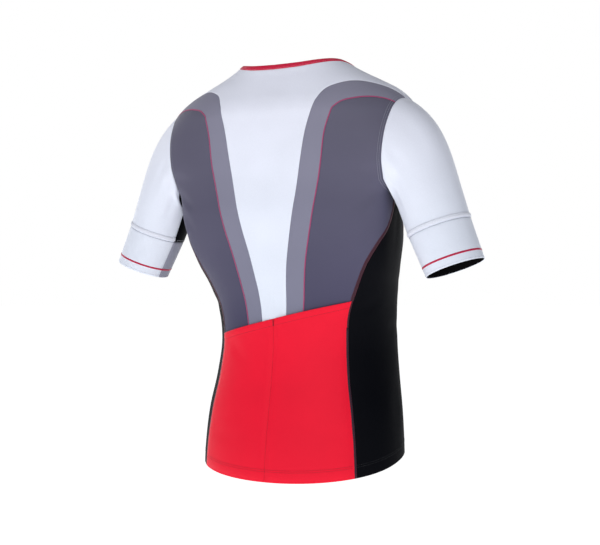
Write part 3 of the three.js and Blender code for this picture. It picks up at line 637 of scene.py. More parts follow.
UNDER_POCKET = 1.4     # how much the back lies lower where a pocket covers it
COVER_FADE = 10        # over this height, from just under the pocket mouth


def under_pocket(p):
    """1 where a pocket covers the back, 0 elsewhere."""
    mouth = POCKET_MOUTH - POCKET_SLANT * p[..., 0]
    down = np.clip((mouth - 4 - p[..., 2]) / COVER_FADE, 0, 1)
    behind = (p[..., 1] > section(p[..., 2])[3]) & (np.abs(p[..., 0]) < seam_x(p[..., 2]) - 0.5)
    return np.where(behind, down * down * (3 - 2 * down), 0)


# ---------- meshes ----------
def mesh_object(name, points, faces, materials, material_index=None, uv=None):
    mesh = bpy.data.meshes.new(name)
    mesh.from_pydata(np.asarray(points) * MM, [], faces)
    for material in materials:
        mesh.materials.append(material)
    if material_index is not None:
        mesh.polygons.foreach_set("material_index", np.asarray(material_index, dtype=np.int32))
    mesh.polygons.foreach_set("use_smooth", np.ones(len(mesh.polygons), dtype=bool))
    if uv is not None:
        layer = mesh.uv_layers.new(name="cloth")
        corners = np.zeros(len(mesh.loops), dtype=np.int32)
        mesh.loops.foreach_get("vertex_index", corners)
        layer.data.foreach_set("uv", (np.asarray(uv) * MM)[corners].ravel())
    mesh.update()
    obj = bpy.data.objects.new(name, mesh)
    bpy.context.scene.collection.objects.link(obj)
    return obj


def grid_faces(index):
    corners = [index[:-1, :-1], index[:-1, 1:], index[1:, 1:], index[1:, :-1]]
    return np.stack(corners, axis=-1).reshape(-1, 4)


def faces_inward(points, quads):
    """Whether the quads of a closed mesh wind the wrong way, by the sign of its volume."""
    a, b, c, d = (points[quads[:, k]] for k in range(4))
    return (a * np.cross(b, c)).sum() + (a * np.cross(c, d)).sum() < 0


def edge_distances(grid):
    """Distance of each point from the bottom, top, left and right edge, along the grid's lines."""
    up = np.linalg.norm(np.diff(grid, axis=0), axis=2)
    across = np.linalg.norm(np.diff(grid, axis=1), axis=2)
    rows, columns = grid.shape[:2]
    bottom = np.vstack([np.zeros((1, columns)), np.cumsum(up, axis=0)])
    left = np.hstack([np.zeros((rows, 1)), np.cumsum(across, axis=1)])
    return {"bottom": bottom, "top": bottom[-1:] - bottom, "left": left, "right": left[:, -1:] - left}


SEAM_SINK = 0.55
SEAM_ROUND = 1.5
PUCKER = 0.16
PUCKER_WIDTH = 9


def sunk_at_seams(grid, seams):
    """The cloth rounds down into its seams, and puckers a little beside them."""
    distances = edge_distances(grid)
    move = np.zeros(grid.shape[:2])
    for side in seams:
        d = distances[side]
        along = distances["left" if side in ("bottom", "top") else "bottom"]
        wave = np.sin(along / 2.1) + 0.6 * np.sin(along / 3.3 + 1.3)
        move -= SEAM_SINK * np.exp(-(d / SEAM_ROUND)**2)
        move += PUCKER * wave * np.exp(-(d / PUCKER_WIDTH)**2) * (1 - np.exp(-(d / 2)**2))
    return move


def wall(name, grid, normals, materials, thick=CLOTH, closed=False, free=()):
    """A closed sheet: the outer grid, the inner grid and rims, which bulge where an edge is free."""
    up, across = grid.shape[0] - 1, grid.shape[1] - 1
    wide = across if closed else across + 1
    outer = grid[:, :wide]
    turned = normals[:, :wide]
    inner = outer - turned * thick
    points = [outer.reshape(-1, 3), inner.reshape(-1, 3)]
    index = np.arange((up + 1) * wide).reshape(up + 1, wide)
    if closed:
        index = np.hstack([index, index[:, :1]])
    inside = index + (up + 1) * wide
    quads = grid_faces(index)
    back = np.roll(grid_faces(inside)[:, ::-1], 1, axis=1)
    edges = {"bottom": (index[0], index[1]), "top": (index[-1][::-1], index[-2][::-1])}
    if not closed:
        edges["left"] = (index[::-1, 0], index[::-1, 1])
        edges["right"] = (index[:, -1], index[:, -2])
    flat_outer, flat_normals = points[0], turned.reshape(-1, 3)
    rims = []
    total = 2 * len(flat_outer)
    for side, (edge, neighbour) in edges.items():
        away = unit(flat_outer[edge] - flat_outer[neighbour])
        bulge = 0.45 * thick if side in free else 0.0
        middle = flat_outer[edge] - flat_normals[edge] * thick / 2 + away * bulge
        points.append(middle)
        mid = np.arange(total, total + len(edge))
        total += len(edge)
        below = edge + len(flat_outer)
        rims.append(np.stack([edge[1:], edge[:-1], mid[:-1], mid[1:]], axis=1))
        rims.append(np.stack([mid[1:], mid[:-1], below[:-1], below[1:]], axis=1))
    rims = np.concatenate(rims)
    faces = np.concatenate([quads, back, rims])
    points = np.concatenate(points)
    distances = edge_distances(grid[:, :across + 1])
    uv = np.stack([distances["left"], distances["bottom"]], axis=-1)[:, :wide].reshape(-1, 2)
    uv = np.concatenate([uv, uv, np.zeros((len(points) - 2 * len(uv), 2))])
    if faces_inward(points, faces):
        faces = faces[:, ::-1]
    kind = np.concatenate([np.zeros(len(quads)), np.ones(len(back)), np.zeros(len(rims))])
    return mesh_object(name, points, faces.tolist(), materials, kind.astype(int), uv)


def frames(line, normals):
    along = unit(np.gradient(line, axis=0))
    return along, unit(np.cross(normals, along))


def ribbon(name, line, normals, width, height, material, closed=False, profile=5):
    """A low domed band along a line on the cloth, whose flat side lies in the surface."""
    _, across = frames(line, normals)
    t = np.linspace(-1, 1, profile)
    dome = height * (1 - t**4)
    top = (line[:, None] + across[:, None] * (t * width / 2)[None, :, None]
           + normals[:, None] * dome[None, :, None])
    low = top - normals[:, None] * (dome + 0.25)[None, :, None]
    section_points = np.concatenate([top, low[:, ::-1]], axis=1)
    rows, wide = section_points.shape[:2]
    index = np.arange(rows * wide).reshape(rows, wide)
    index = np.hstack([index, index[:, :1]])
    if closed:
        section_points = section_points[:-1]
        index = np.vstack([index[:-1], index[:1]])
    quads = grid_faces(index)
    faces = quads.tolist()
    if not closed:
        faces.append(index[0, :-1][::-1].tolist())
        faces.append(index[-1, :-1].tolist())
    place = lengths(line)[:len(section_points)]
    side = np.concatenate([t, t[::-1]]) * width / 2
    uv = np.stack(np.broadcast_arrays(side[None, :], place[:, None]), axis=-1).reshape(-1, 2)
    points = section_points.reshape(-1, 3)
    if faces_inward(points, quads):
        faces = [face[::-1] for face in faces]
    return mesh_object(name, points, faces, [material], None, uv)


STITCH_RING = np.array([(1, 0), (0, 1), (-1, 0), (0, -1)], float)
STITCH_ROWS = [(-0.5, 0.0), (-0.3, 1.0), (0.3, 1.0), (0.5, 0.0)]   # place along it, and fatness


def stitches(name, lines, material, pitch=3.0, length=2.3, width=0.55, height=0.35):
    """Short rounded threads along each (line, normals), a pitch apart."""
    points, faces = [], []
    total = 0
    for line, normals in lines:
        along_length = lengths(line)
        count = max(1, int(along_length[-1] / pitch))
        at = (np.arange(count) + 0.5) * along_length[-1] / count

        def sample(values, where):
            return np.stack([np.interp(where, along_length, values[:, k]) for k in range(3)], axis=1)

        middle, normal = sample(line, at), unit(sample(normals, at))
        along = unit(sample(line, at + 0.5) - sample(line, at - 0.5))
        side = np.cross(normal, along)
        shape = []
        for place, fat in STITCH_ROWS:
            for across, high in STITCH_RING:
                shape.append(middle + along * place * length + side * across * fat * width / 2
                             + normal * (high * fat * height * 0.5 + height * 0.5 * fat - 0.05))
        shape = np.stack(shape, axis=1)
        points.append(shape.reshape(-1, 3))
        ring = np.arange(4)
        cell = []
        for row in range(3):
            low, high = row * 4 + ring, (row + 1) * 4 + ring
            cell.append(np.stack([low, np.roll(low, -1), np.roll(high, -1), high], axis=1))
        cell = np.concatenate(cell)
        starts = total + np.arange(count) * 16
        faces.append((starts[:, None, None] + cell[None]).reshape(-1, 4))
        total += count * 16
    return mesh_object(name, np.concatenate(points), np.concatenate(faces).tolist(), [material])


# ---------- materials ----------
def linear_colour(red, green, blue):
    def channel(value):
        value = value / 255
        return value / 12.92 if value <= 0.04045 else ((value + 0.055) / 1.055)**2.4
    return (channel(red), channel(green), channel(blue), 1.0)


class Nodes:
    """Short calls for building one material's nodes."""

    def __init__(self, name):
        self.material = bpy.data.materials.new(name)
        self.material.use_nodes = True
        self.tree = self.material.node_tree
        self.shader = self.tree.nodes["Principled BSDF"]

    def add(self, kind, **settings):
        node = self.tree.nodes.new(kind)
        for key, value in settings.items():
            setattr(node, key, value)
        return node

    def link(self, output, socket):
        self.tree.links.new(output, socket)

    def math(self, operation, *values):
        node = self.add("ShaderNodeMath", operation=operation)
        for k, value in enumerate(values):
            if isinstance(value, (int, float)):
                node.inputs[k].default_value = value
            else:
                self.link(value, node.inputs[k])
        return node.outputs[0]

    def ranged(self, value, low, high, to_low, to_high):
        node = self.add("ShaderNodeMapRange")
        self.link(value, node.inputs[0])
        for k, number in enumerate((low, high, to_low, to_high)):
            node.inputs[k + 1].default_value = number
        return node.outputs[0]

    def noise(self, coordinates, scale, detail=2.0, roughness=0.5):
        node = self.add("ShaderNodeTexNoise")
        self.link(coordinates, node.inputs["Vector"])
        node.inputs["Scale"].default_value = scale
        node.inputs["Detail"].default_value = detail
        node.inputs["Roughness"].default_value = roughness
        return node.outputs["Fac"]

    def mix(self, factor, first, second, blend="MIX"):
        node = self.add("ShaderNodeMix", data_type="RGBA", blend_type=blend)
        if isinstance(factor, (int, float)):
            node.inputs["Factor"].default_value = factor
        else:
            self.link(factor, node.inputs["Factor"])
        for socket, value in ((node.inputs[6], first), (node.inputs[7], second)):
            if isinstance(value, tuple):
                socket.default_value = value
            else:
                self.link(value, socket)
        return node.outputs[2]

    def bump(self, height, distance, strength=1.0, normal=None):
        node = self.add("ShaderNodeBump")
        node.inputs["Strength"].default_value = strength
        node.inputs["Distance"].default_value = distance
        self.link(height, node.inputs["Height"])
        if normal is not None:
            self.link(normal, node.inputs["Normal"])
        return node.outputs["Normal"]

    def cloth_place(self):
        """Across and along the cloth, in metres."""
        split = self.add("ShaderNodeSeparateXYZ")
        self.link(self.add("ShaderNodeUVMap", uv_map="cloth").outputs["UV"], split.inputs[0])
        return split.outputs["X"], split.outputs["Y"]

    def object_place(self):
        return self.add("ShaderNodeTexCoord").outputs["Object"]

    def shaded_colour(self, colour, shade):
        grey = self.add("ShaderNodeCombineColor")
        for k in range(3):
            self.link(shade, grey.inputs[k])
        shaded = self.mix(1.0, colour, grey.outputs[0], "MULTIPLY")
        self.link(shaded, self.shader.inputs["Base Color"])

    def finish(self, roughness, sheen, specular):
        self.shader.inputs["Roughness"].default_value = roughness
        self.shader.inputs["Sheen Weight"].default_value = sheen
        self.shader.inputs["Sheen Roughness"].default_value = 0.4
        self.shader.inputs["Specular IOR Level"].default_value = specular
        return self.material


WALE = 0.00062      # width of one column of knit loops, in metres
COURSE = 0.00046    # height of one row
SHADE_LOW = -0.42    # heights between which a panel's colour passes from its low one to its top one: painted shade, darker towards the bottom
SHADE_HIGH = -0.08


def knit(name, colour, shaded_low_colour=None, roughness=0.55, sheen=0.25, specular=0.3, depth=0.00005):
    """Smooth warp knit: fine columns of slanted loops, with their grooves darkened as painted shade, and
    a painted shade that passes from the top colour to the low colour lower down on the piece.
    """
    n = Nodes(name)
    across, along = n.cloth_place()
    place = n.object_place()
    column = n.math("DIVIDE", across, WALE)
    row = n.math("DIVIDE", along, COURSE)
    within = n.math("ABSOLUTE", n.math("SUBTRACT", n.math("FRACT", column), 0.5))
    rib = n.math("SINE", n.math("MULTIPLY", within, math.pi))
    slant = n.math("ADD", row, n.math("MULTIPLY", within, 1.4))
    loop = n.ranged(n.math("SINE", n.math("MULTIPLY", slant, 2 * math.pi)), -1, 1, 0, 1)
    height = n.math("SUBTRACT", n.math("MULTIPLY", loop, 0.45), n.math("MULTIPLY", rib, 0.8))
    soft = n.noise(place, 420.0, 3.0, 0.6)
    height = n.math("ADD", height, n.math("MULTIPLY", soft, 0.5))
    top = linear_colour(*colour)
    low = linear_colour(*(shaded_low_colour or colour))
    # Painted shade: lower on the piece, the colour passes from the top one to the low one.
    object_split = n.add("ShaderNodeSeparateXYZ")
    n.link(place, object_split.inputs[0])
    painted_shade_fall = n.ranged(object_split.outputs["Z"], SHADE_LOW, SHADE_HIGH, 1, 0)
    base = n.mix(painted_shade_fall, top, low)
    cloudy = n.ranged(n.noise(place, 9.0, 2.0), 0.3, 0.7, 0.965, 1.03)
    fibre = n.ranged(n.noise(place, 900.0, 2.0), 0.25, 0.75, 0.97, 1.03)
    # Painted shade: the colour is darkened where the loops lie low, in the grooves between them.
    loops = n.ranged(height, -0.8, 0.9, 0.95, 1.03)
    n.shaded_colour(base, n.math("MULTIPLY", n.math("MULTIPLY", cloudy, fibre), loops))
    wavy = n.noise(place, 30.0, 2.0)
    normal = n.bump(height, depth, 0.7, n.bump(wavy, 0.0006, 0.25))
    n.link(normal, n.shader.inputs["Normal"])
    return n.finish(roughness, sheen, specular)


def thread(name, colour, second=None, twist=0.0011, depth=0.0002, roughness=0.5):
    """Machine-sewn thread lying in slanted loops across a band, with a darker second colour where the
    loops lie low: painted shade between them.
    """
    n = Nodes(name)
    across, along = n.cloth_place()
    slant = n.math("ADD", n.math("DIVIDE", along, twist), n.math("DIVIDE", across, 2.2 * twist))
    loops = n.ranged(n.math("SINE", n.math("MULTIPLY", slant, 2 * math.pi)), -1, 1, 0, 1)
    fibre = n.ranged(n.noise(n.object_place(), 1500.0, 2.0), 0.3, 0.7, 0.85, 1.1)
    first = linear_colour(*colour)
    # The second colour is painted shade, darker where the loops lie low.
    loop_shade_colour = linear_colour(*(second or tuple(0.62 * c for c in colour)))
    n.shaded_colour(n.mix(loops, loop_shade_colour, first), fibre)
    n.link(n.bump(loops, depth, 0.8), n.shader.inputs["Normal"])
    return n.finish(roughness, 0.15, 0.3)


def plain_thread(name, colour):
    """Single stitches, too short to show more than their twist, which is painted darker where it lies
    low: painted shade.
    """
    n = Nodes(name)
    fibre = n.noise(n.object_place(), 2500.0, 2.0)
    # Painted shade: the colour is darker where the twist's bump lies low.
    twist_shade, light = linear_colour(*(0.85 * c for c in colour)), linear_colour(*colour)
    n.link(n.mix(n.ranged(fibre, 0.3, 0.7, 0, 1), twist_shade, light), n.shader.inputs["Base Color"])
    n.link(n.bump(fibre, 0.0001, 0.6), n.shader.inputs["Normal"])
    return n.finish(0.5, 0.1, 0.3)


# The second colour of each knit is its low one: painted shade lower down on the piece.
WHITE = knit("knit_white", (231, 234, 248), (226, 234, 248), 0.5, 0.05, 0.3)
WHITE_INSIDE = knit("knit_white_inside", (205, 208, 220), None, 0.7, 0.2, 0.2)
LIGHT = knit("knit_light_grey", (134, 133, 152), (122, 123, 144), 0.55, 0.08, 0.25)
DARK = knit("knit_dark_grey", (95, 93, 112), (66, 64, 92), 0.55, 0.08, 0.25)
GREY_INSIDE = knit("knit_grey_inside", (120, 119, 132), None, 0.7, 0.2, 0.2)
BLACK = knit("knit_black", (3, 4, 11), (3, 4, 10), 0.6, 0.0, 0.06)
# Black for the black panels' inner face, and painted shade for the cuffs' inner face.
BLACK_INSIDE_AND_CUFF_SHADE = knit("knit_black_inside_and_cuff_shade", (8, 9, 12), None, 0.7, 0.02, 0.1)
RED = knit("knit_red", (240, 14, 46), (240, 18, 50), 0.5, 0.03, 0.14)
RED_INSIDE = knit("knit_red_inside", (190, 40, 58), None, 0.7, 0.2, 0.2)
BINDING = knit("knit_binding", (204, 22, 62), None, 0.5, 0.05, 0.25, 0.00009)
UNDER_GREY = knit("knit_under_grey", (150, 152, 170), None, 0.55, 0.08, 0.25)
# The second colour of each thread is painted shade between its loops.
STRIPE = thread("band_red", (206, 28, 78), (170, 20, 62))
WELT = thread("band_white", (236, 239, 250), (214, 219, 234), 0.0016)
PINK = thread("thread_pink", (196, 72, 122), (140, 62, 104))
MAROON = thread("thread_maroon", (70, 14, 38), (34, 12, 28), 0.0014)
PURPLE = thread("thread_purple", (50, 22, 46), (22, 14, 28), 0.0014)
STITCH_WHITE = plain_thread("stitch_white", (205, 208, 222))
STITCH_GREY = plain_thread("stitch_grey", (168, 172, 186))
STITCH_SLATE = plain_thread("stitch_slate", (120, 122, 138))
STITCH_RED = plain_thread("stitch_red", (150, 12, 34))
STITCH_SOFT_RED = plain_thread("stitch_soft_red", (205, 14, 44))
STITCH_PINK = plain_thread("stitch_pink", (240, 120, 150))
STITCH_BLACK = plain_thread("stitch_black", (26, 28, 36))
STITCH_MAROON = plain_thread("stitch_maroon", (112, 20, 52))


def hand_in(obj, node):
    """Rides on the part's one body and, where a node is given, stands for that CAD solid."""
    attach(obj, "root")
    if node:
        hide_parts(node)
    return obj


def trunk_piece(node, grid, materials, seams, free=()):
    normals = form_normal(grid)
    move = trunk_relief(grid) + sunk_at_seams(grid, seams)
    if node.startswith("back"):
        move -= UNDER_POCKET * under_pocket(grid)
    obj = wall("cloth_" + node, grid + normals * move[..., None], normals, materials, free=free)
    hand_in(obj, node)


ALL_SIDES = ("bottom", "top", "left", "right")
BUT_BOTTOM = ("top", "left", "right")
BUT_TOP = ("bottom", "left", "right")
both = {"left": lambda grid: grid, "right": mirrored}
trunk_piece("back_centre", back_centre_grid(), [WHITE, WHITE_INSIDE], ALL_SIDES)
trunk_piece("back_lower", back_lower_grid(), [WHITE, WHITE_INSIDE], ("top",), ("bottom",))
trunk_piece("front_panel", front_grid(), [WHITE, WHITE_INSIDE], BUT_BOTTOM, ("bottom",))
for hand, place in both.items():
    trunk_piece(f"back_band_{hand}", place(band_grid()), [LIGHT, GREY_INSIDE],
                ALL_SIDES)
    trunk_piece(f"back_side_{hand}", place(back_side_grid()), [DARK, GREY_INSIDE],
                ALL_SIDES)
    trunk_piece(f"side_panel_{hand}", place(side_panel_grid()), [BLACK, BLACK_INSIDE_AND_CUFF_SHADE],
                BUT_BOTTOM, ("bottom",))


def pocket_lift(grid):
    """Sewn down at its sides and hem, lifted at the mouth, where the edge is folded double."""
    d = edge_distances(grid)
    sewn = np.minimum(np.minimum(d["left"], d["right"]), d["bottom"])
    lift = POCKET_SEWN + (POCKET_LIFT - POCKET_SEWN) * (1 - np.exp(-(sewn / 6)**2))
    share = np.clip(d["left"] / (d["left"] + d["right"]), 0, 1)
    mouth = np.exp(-(d["top"] / 45)**2) * np.sin(np.pi * share)
    fold = 0.45 / (1 + np.exp((d["top"] - POCKET_FOLD) / 0.9))
    stitched = -0.35 * np.exp(-((d["top"] - POCKET_FOLD) / 1.6)**2)
    sunk = sunk_at_seams(grid, ("left", "right")) * 0.25
    return lift + 0.9 * mouth + fold + stitched + relief(grid, POCKET_CREASES) + sunk


POCKETS = {}
for hand, sign in (("left", 1), ("right", -1)):
    grid = pocket_grid(sign)
    normals = form_normal(grid)
    moved = grid + normals * (trunk_relief(grid) + pocket_lift(grid))[..., None]
    POCKETS[hand] = (moved, normals)
    obj = wall(f"cloth_pocket_{hand}", moved, normals, [RED, RED_INSIDE], thick=0.9,
               free=("top", "bottom"))
    hand_in(obj, f"pocket_{hand}")


# ---------- sleeves ----------
LAST = len(armhole) - 1


def arm_columns(first, last):
    """Columns of the sleeve's rings between two facet numbers, closer by the ends."""
    return (stations(last - first) + first * SUB) % LAST


def arm_part(rows, columns, relief_seams, place, node, materials, free=()):
    grid = ARM_ROWS[rows][:, columns]
    normals = ARM_NORMALS[rows][:, columns]
    move = relief(grid, SLEEVE_CREASES) + sunk_at_seams(grid, relief_seams)
    moved = place(grid + normals * move[..., None])
    obj = wall("cloth_" + node, moved, place(normals), materials, free=free)
    hand_in(obj, node)


LAST_FACET = LAST // SUB
SLEEVE_ROWS = slice(0, BAND_ROW + 1)
CUFF_ROWS = slice(BAND_ROW, len(ARM_ROWS))
MAIN = arm_columns(UNDER_END, UNDER_START + LAST_FACET)
UNDER = arm_columns(UNDER_START, UNDER_END)
for hand, place in both.items():
    arm_part(SLEEVE_ROWS, MAIN, ALL_SIDES, place, f"sleeve_{hand}", [WHITE, WHITE_INSIDE])
    arm_part(SLEEVE_ROWS, UNDER, ALL_SIDES, place, f"sleeve_underarm_{hand}",
             [BLACK, BLACK_INSIDE_AND_CUFF_SHADE])
    # The cuffs' inner face is black: painted shade inside the sleeve's opening.
    arm_part(CUFF_ROWS, MAIN, BUT_TOP, place, f"cuff_{hand}", [WHITE, BLACK_INSIDE_AND_CUFF_SHADE],
             ("top",))
    arm_part(CUFF_ROWS, UNDER, BUT_TOP, place, f"cuff_underarm_{hand}",
             [UNDER_GREY, BLACK_INSIDE_AND_CUFF_SHADE], ("top",))


def ring_line(distance, columns, lift=0.0):
    """A line round the sleeve, at a distance below (or, below 0, above) the band seam."""
    place = lengths(ARM_ROWS[:, 0])
    place -= place[BAND_ROW]
    row = int(np.clip(np.searchsorted(place, distance) - 1, 0, len(place) - 2))
    t = (distance - place[row]) / (place[row + 1] - place[row])
    line = ARM_ROWS[row] * (1 - t) + ARM_ROWS[row + 1] * t
    normals = unit(ARM_NORMALS[row] * (1 - t) + ARM_NORMALS[row + 1] * t)
    line = line + normals * (relief(line, SLEEVE_CREASES) + lift)[:, None]
    return line[columns], normals[columns]


CUFF_LENGTH = float(np.linalg.norm(ARM_ROWS[-1][0] - ARM_ROWS[BAND_ROW][0]))
ROUND_ARM = np.concatenate([np.arange(0, LAST, 2), [0]])
MAIN_ARM = np.arange(UNDER_END * SUB, (UNDER_START + LAST_FACET) * SUB + 1, 2) % LAST
UNDER_ARM = np.arange(UNDER_START * SUB, UNDER_END * SUB + 1, 2)


# ---------- neck binding ----------
def neck_ring():
    left = joined(neck_back, neck_front)
    return joined(left, mirrored(left)[::-1])


def binding():
    ring = neck_ring()[::3]
    normals = form_normal(ring)
    along = unit(np.roll(ring[:-1], -1, axis=0) - np.roll(ring[:-1], 1, axis=0))
    along = np.vstack([along, along[:1]])
    rise = unit(np.cross(normals, along))
    rise *= np.where(rise[:, 2:] < 0, -1, 1)
    outline = []
    for angle in np.linspace(0, 2 * math.pi, 21)[:-1]:
        up, outward = math.sin(angle), math.cos(angle)
        high = BINDING_WIDTH * (0.5 + 0.5 * math.copysign(abs(up)**0.7, up))
        out = -CLOTH / 2 + 1.25 * math.copysign(abs(outward)**0.8, outward)
        outline.append(ring + rise * high + normals * out)
    points = np.stack(outline, axis=1)[:-1]
    rows, wide = points.shape[:2]
    index = np.arange(rows * wide).reshape(rows, wide)
    index = np.hstack([index, index[:, :1]])
    index = np.vstack([index, index[:1]])
    faces = grid_faces(index)
    flat = points.reshape(-1, 3)
    if faces_inward(flat, faces):
        faces = faces[:, ::-1]
    around = np.linspace(0, 2 * BINDING_WIDTH, wide, endpoint=False)
    uv = np.stack(np.broadcast_arrays(around[None], lengths(ring)[:-1, None]), axis=-1).reshape(-1, 2)
    obj = mesh_object("cloth_neck_binding", flat, faces.tolist(), [BINDING], None, uv)
    hand_in(obj, "neck_binding")
    return ring, normals, rise


NECK_RING, NECK_NORMALS, NECK_RISE = binding()


# ---------- seams and stitches ----------
def beside(line, distance):
    """The line moved sideways over the form."""
    normals = form_normal(line)
    _, across = frames(line, normals)
    return on_form(line + across * distance, 3)


def laid(line, lift=0.1):
    normals = form_normal(line)
    return line + normals * (trunk_relief(line) + lift)[:, None], normals


ON_SHEET = {}
SEAM_TURN = 40         # height above the lower seam where the side seam changes its thread


def placed(place, line_and_normals):
    return tuple(place(part) for part in line_and_normals)


def trim(obj, node, stands_for=None):
    """A strip, a seam or a row of stitches, which goes with that node's cloth."""
    ON_SHEET.setdefault(node, []).append(hand_in(obj, stands_for))


band_line = joined(edge_band, arch_band)
visible_band = band_line[band_line[:, 2] > POCKET_MOUTH - 40][::3]
side_seam = joined(back_seam_low, back_seam)
front_line = joined(front_seam_low, front_seam)
turn_height = back_seam[0][2] + SEAM_TURN
for hand, place in both.items():
    band = placed(place, laid(visible_band, 0.0))
    trim(ribbon(f"seam_band_{hand}", *band, 2.0, 0.4, PINK), f"back_band_{hand}")
    seams = (
        ("side_low", side_seam[side_seam[:, 2] <= turn_height + 1], 0.35, PURPLE),
        ("side_high", side_seam[side_seam[:, 2] >= turn_height - 1], 0.0, MAROON),
        ("front", front_line, 0.0, PURPLE),
    )
    for label, seam, lift, material in seams:
        ends = placed(place, laid(seam[::3], lift))
        trim(ribbon(f"seam_{label}_{hand}", *ends, 5.0, 0.35, material),
             f"side_panel_{hand}")

    rows = []
    for offset in (-2.1, 2.1):
        for seam in (side_seam, front_line):
            rows.append(placed(place, laid(beside(seam[::4], offset), 0.4)))
    trim(stitches(f"stitch_side_{hand}", rows, STITCH_MAROON, 2.6, 2.0, 0.45, 0.3),
         f"side_panel_{hand}")

    arm_back = armhole[4:SIDE_START + 1][::4]
    arm_front = armhole[SIDE_END:LAST - 3][::4]
    rows = []
    for offset in (3.2, 6.4):
        for part in (arm_back, arm_front):
            moved = beside(part, offset)
            inward = np.linalg.norm(moved[:, :1], axis=1) < np.linalg.norm(part[:, :1], axis=1)
            if inward.mean() < 0.5:
                moved = beside(part, -offset)
            rows.append(placed(place, laid(moved, 0.1)))
    trim(stitches(f"stitch_armhole_{hand}", rows, STITCH_GREY, 2.8, 2.3, 0.5, 0.3),
         f"back_side_{hand}")

    rows = [placed(place, laid(beside(shoulder[::4], 3.0), 0.1))]
    trim(stitches(f"stitch_shoulder_{hand}", rows, STITCH_WHITE, 3.0, 2.3),
         "front_panel")


def hem_rows(rise):
    """A line round the whole hem, at a height above its edge."""
    turn = np.linspace(0, 2 * math.pi, 721)
    half, _, _, side, _ = level_section(HEM_FRONT)
    p = circle_at_hem(half, side, turn)
    for _ in range(SETTLE_ROUNDS):
        p[:, 2] = hem_height(p) + rise
        reach = 1 + form(p)
        centre = section(p[:, 2])[3]
        p[:, 0] /= reach
        p[:, 1] = centre + (p[:, 1] - centre) / reach
    return p


def split_hem(rise):
    """The hem line in its red, black and white stretches."""
    line = hem_rows(rise)
    seam = np.abs(np.interp(line[:, 2], side_seam[:, 2], side_seam[:, 0]))
    front = np.abs(np.interp(line[:, 2], front_line[:, 2], front_line[:, 0]))
    back_part = (line[:, 1] > 0) & (np.abs(line[:, 0]) < seam - 3)
    front_part = (line[:, 1] < -60) & (np.abs(line[:, 0]) < front - 3)
    parts = {"red": back_part, "white": front_part, "black": ~back_part & ~front_part}
    found = {}
    for kind, keep in parts.items():
        starts = np.flatnonzero(np.diff(np.concatenate([[0], keep[:-1].astype(int), [0]])))
        found[kind] = [line[a:b] for a, b in zip(starts[::2], starts[1::2]) if b - a > 4]
    return found


HEM_STITCHES = (17.0, 20.2)   # heights of the two rows above the hem's edge
HEM_KINDS = {
    "red": (STITCH_RED, "red_knit", POCKET_LIFT + 0.1),
    "white": (STITCH_WHITE, "white_knit", 0.1),
    "black": (STITCH_BLACK, "black_knit", 0.1),
}
for kind, (material, slot, lift) in HEM_KINDS.items():
    rows = []
    for rise in HEM_STITCHES:
        for line in split_hem(rise)[kind]:
            rows.append(laid(line, lift))
    trim(stitches(f"stitch_hem_{kind}", rows, material, 2.9, 2.3, 0.5, 0.3), "back_lower")


def across_pocket(hand, from_mouth):
    """A line on a pocket, at a distance under its mouth."""
    grid, normals = POCKETS[hand]
    d = edge_distances(grid)["top"]
    line, turned = [], []
    for column in range(grid.shape[1]):
        down = d[::-1, column]
        line.append([np.interp(from_mouth, down, grid[::-1, column, k]) for k in range(3)])
        turned.append([np.interp(from_mouth, down, normals[::-1, column, k]) for k in range(3)])
    return np.array(line), unit(np.array(turned))


rows = [across_pocket(hand, POCKET_FOLD) for hand in both]
trim(stitches("stitch_pocket_mouth", rows, STITCH_RED, 2.9, 2.3, 0.5, 0.3),
     "pocket_left")
centre, centre_normals = (grid[:, 0] for grid in POCKETS["left"])
centre_stitch = (centre[:-1], centre_normals[:-1])
trim(stitches("stitch_pocket_centre", [centre_stitch], STITCH_SOFT_RED, 3.0, 2.3, 0.5, 0.3),
     "pocket_left")


def bartack(name, at, down, across, normal, width, height, material):
    """A dense bar of side-by-side threads that locks the end of a seam."""
    rows = []
    for share in np.linspace(-0.5, 0.5, 9):
        start = at + down * share * height
        line = np.stack([start - across * width / 2, start + across * width / 2])
        rows.append((line, np.stack([normal, normal])))
    trim(stitches(name, rows, material, width * 1.05, width, 0.75, 0.5), "pocket_left")


top_centre, below_centre = centre[-1], centre[-8]
tack_down = unit(below_centre - top_centre)
tack_across = unit(np.cross(tack_down, centre_normals[-1]))
bartack("bartack_centre", top_centre + tack_down * 6 + centre_normals[-1] * 0.6, tack_down, tack_across,
        centre_normals[-1], 3.2, 10, STITCH_RED)


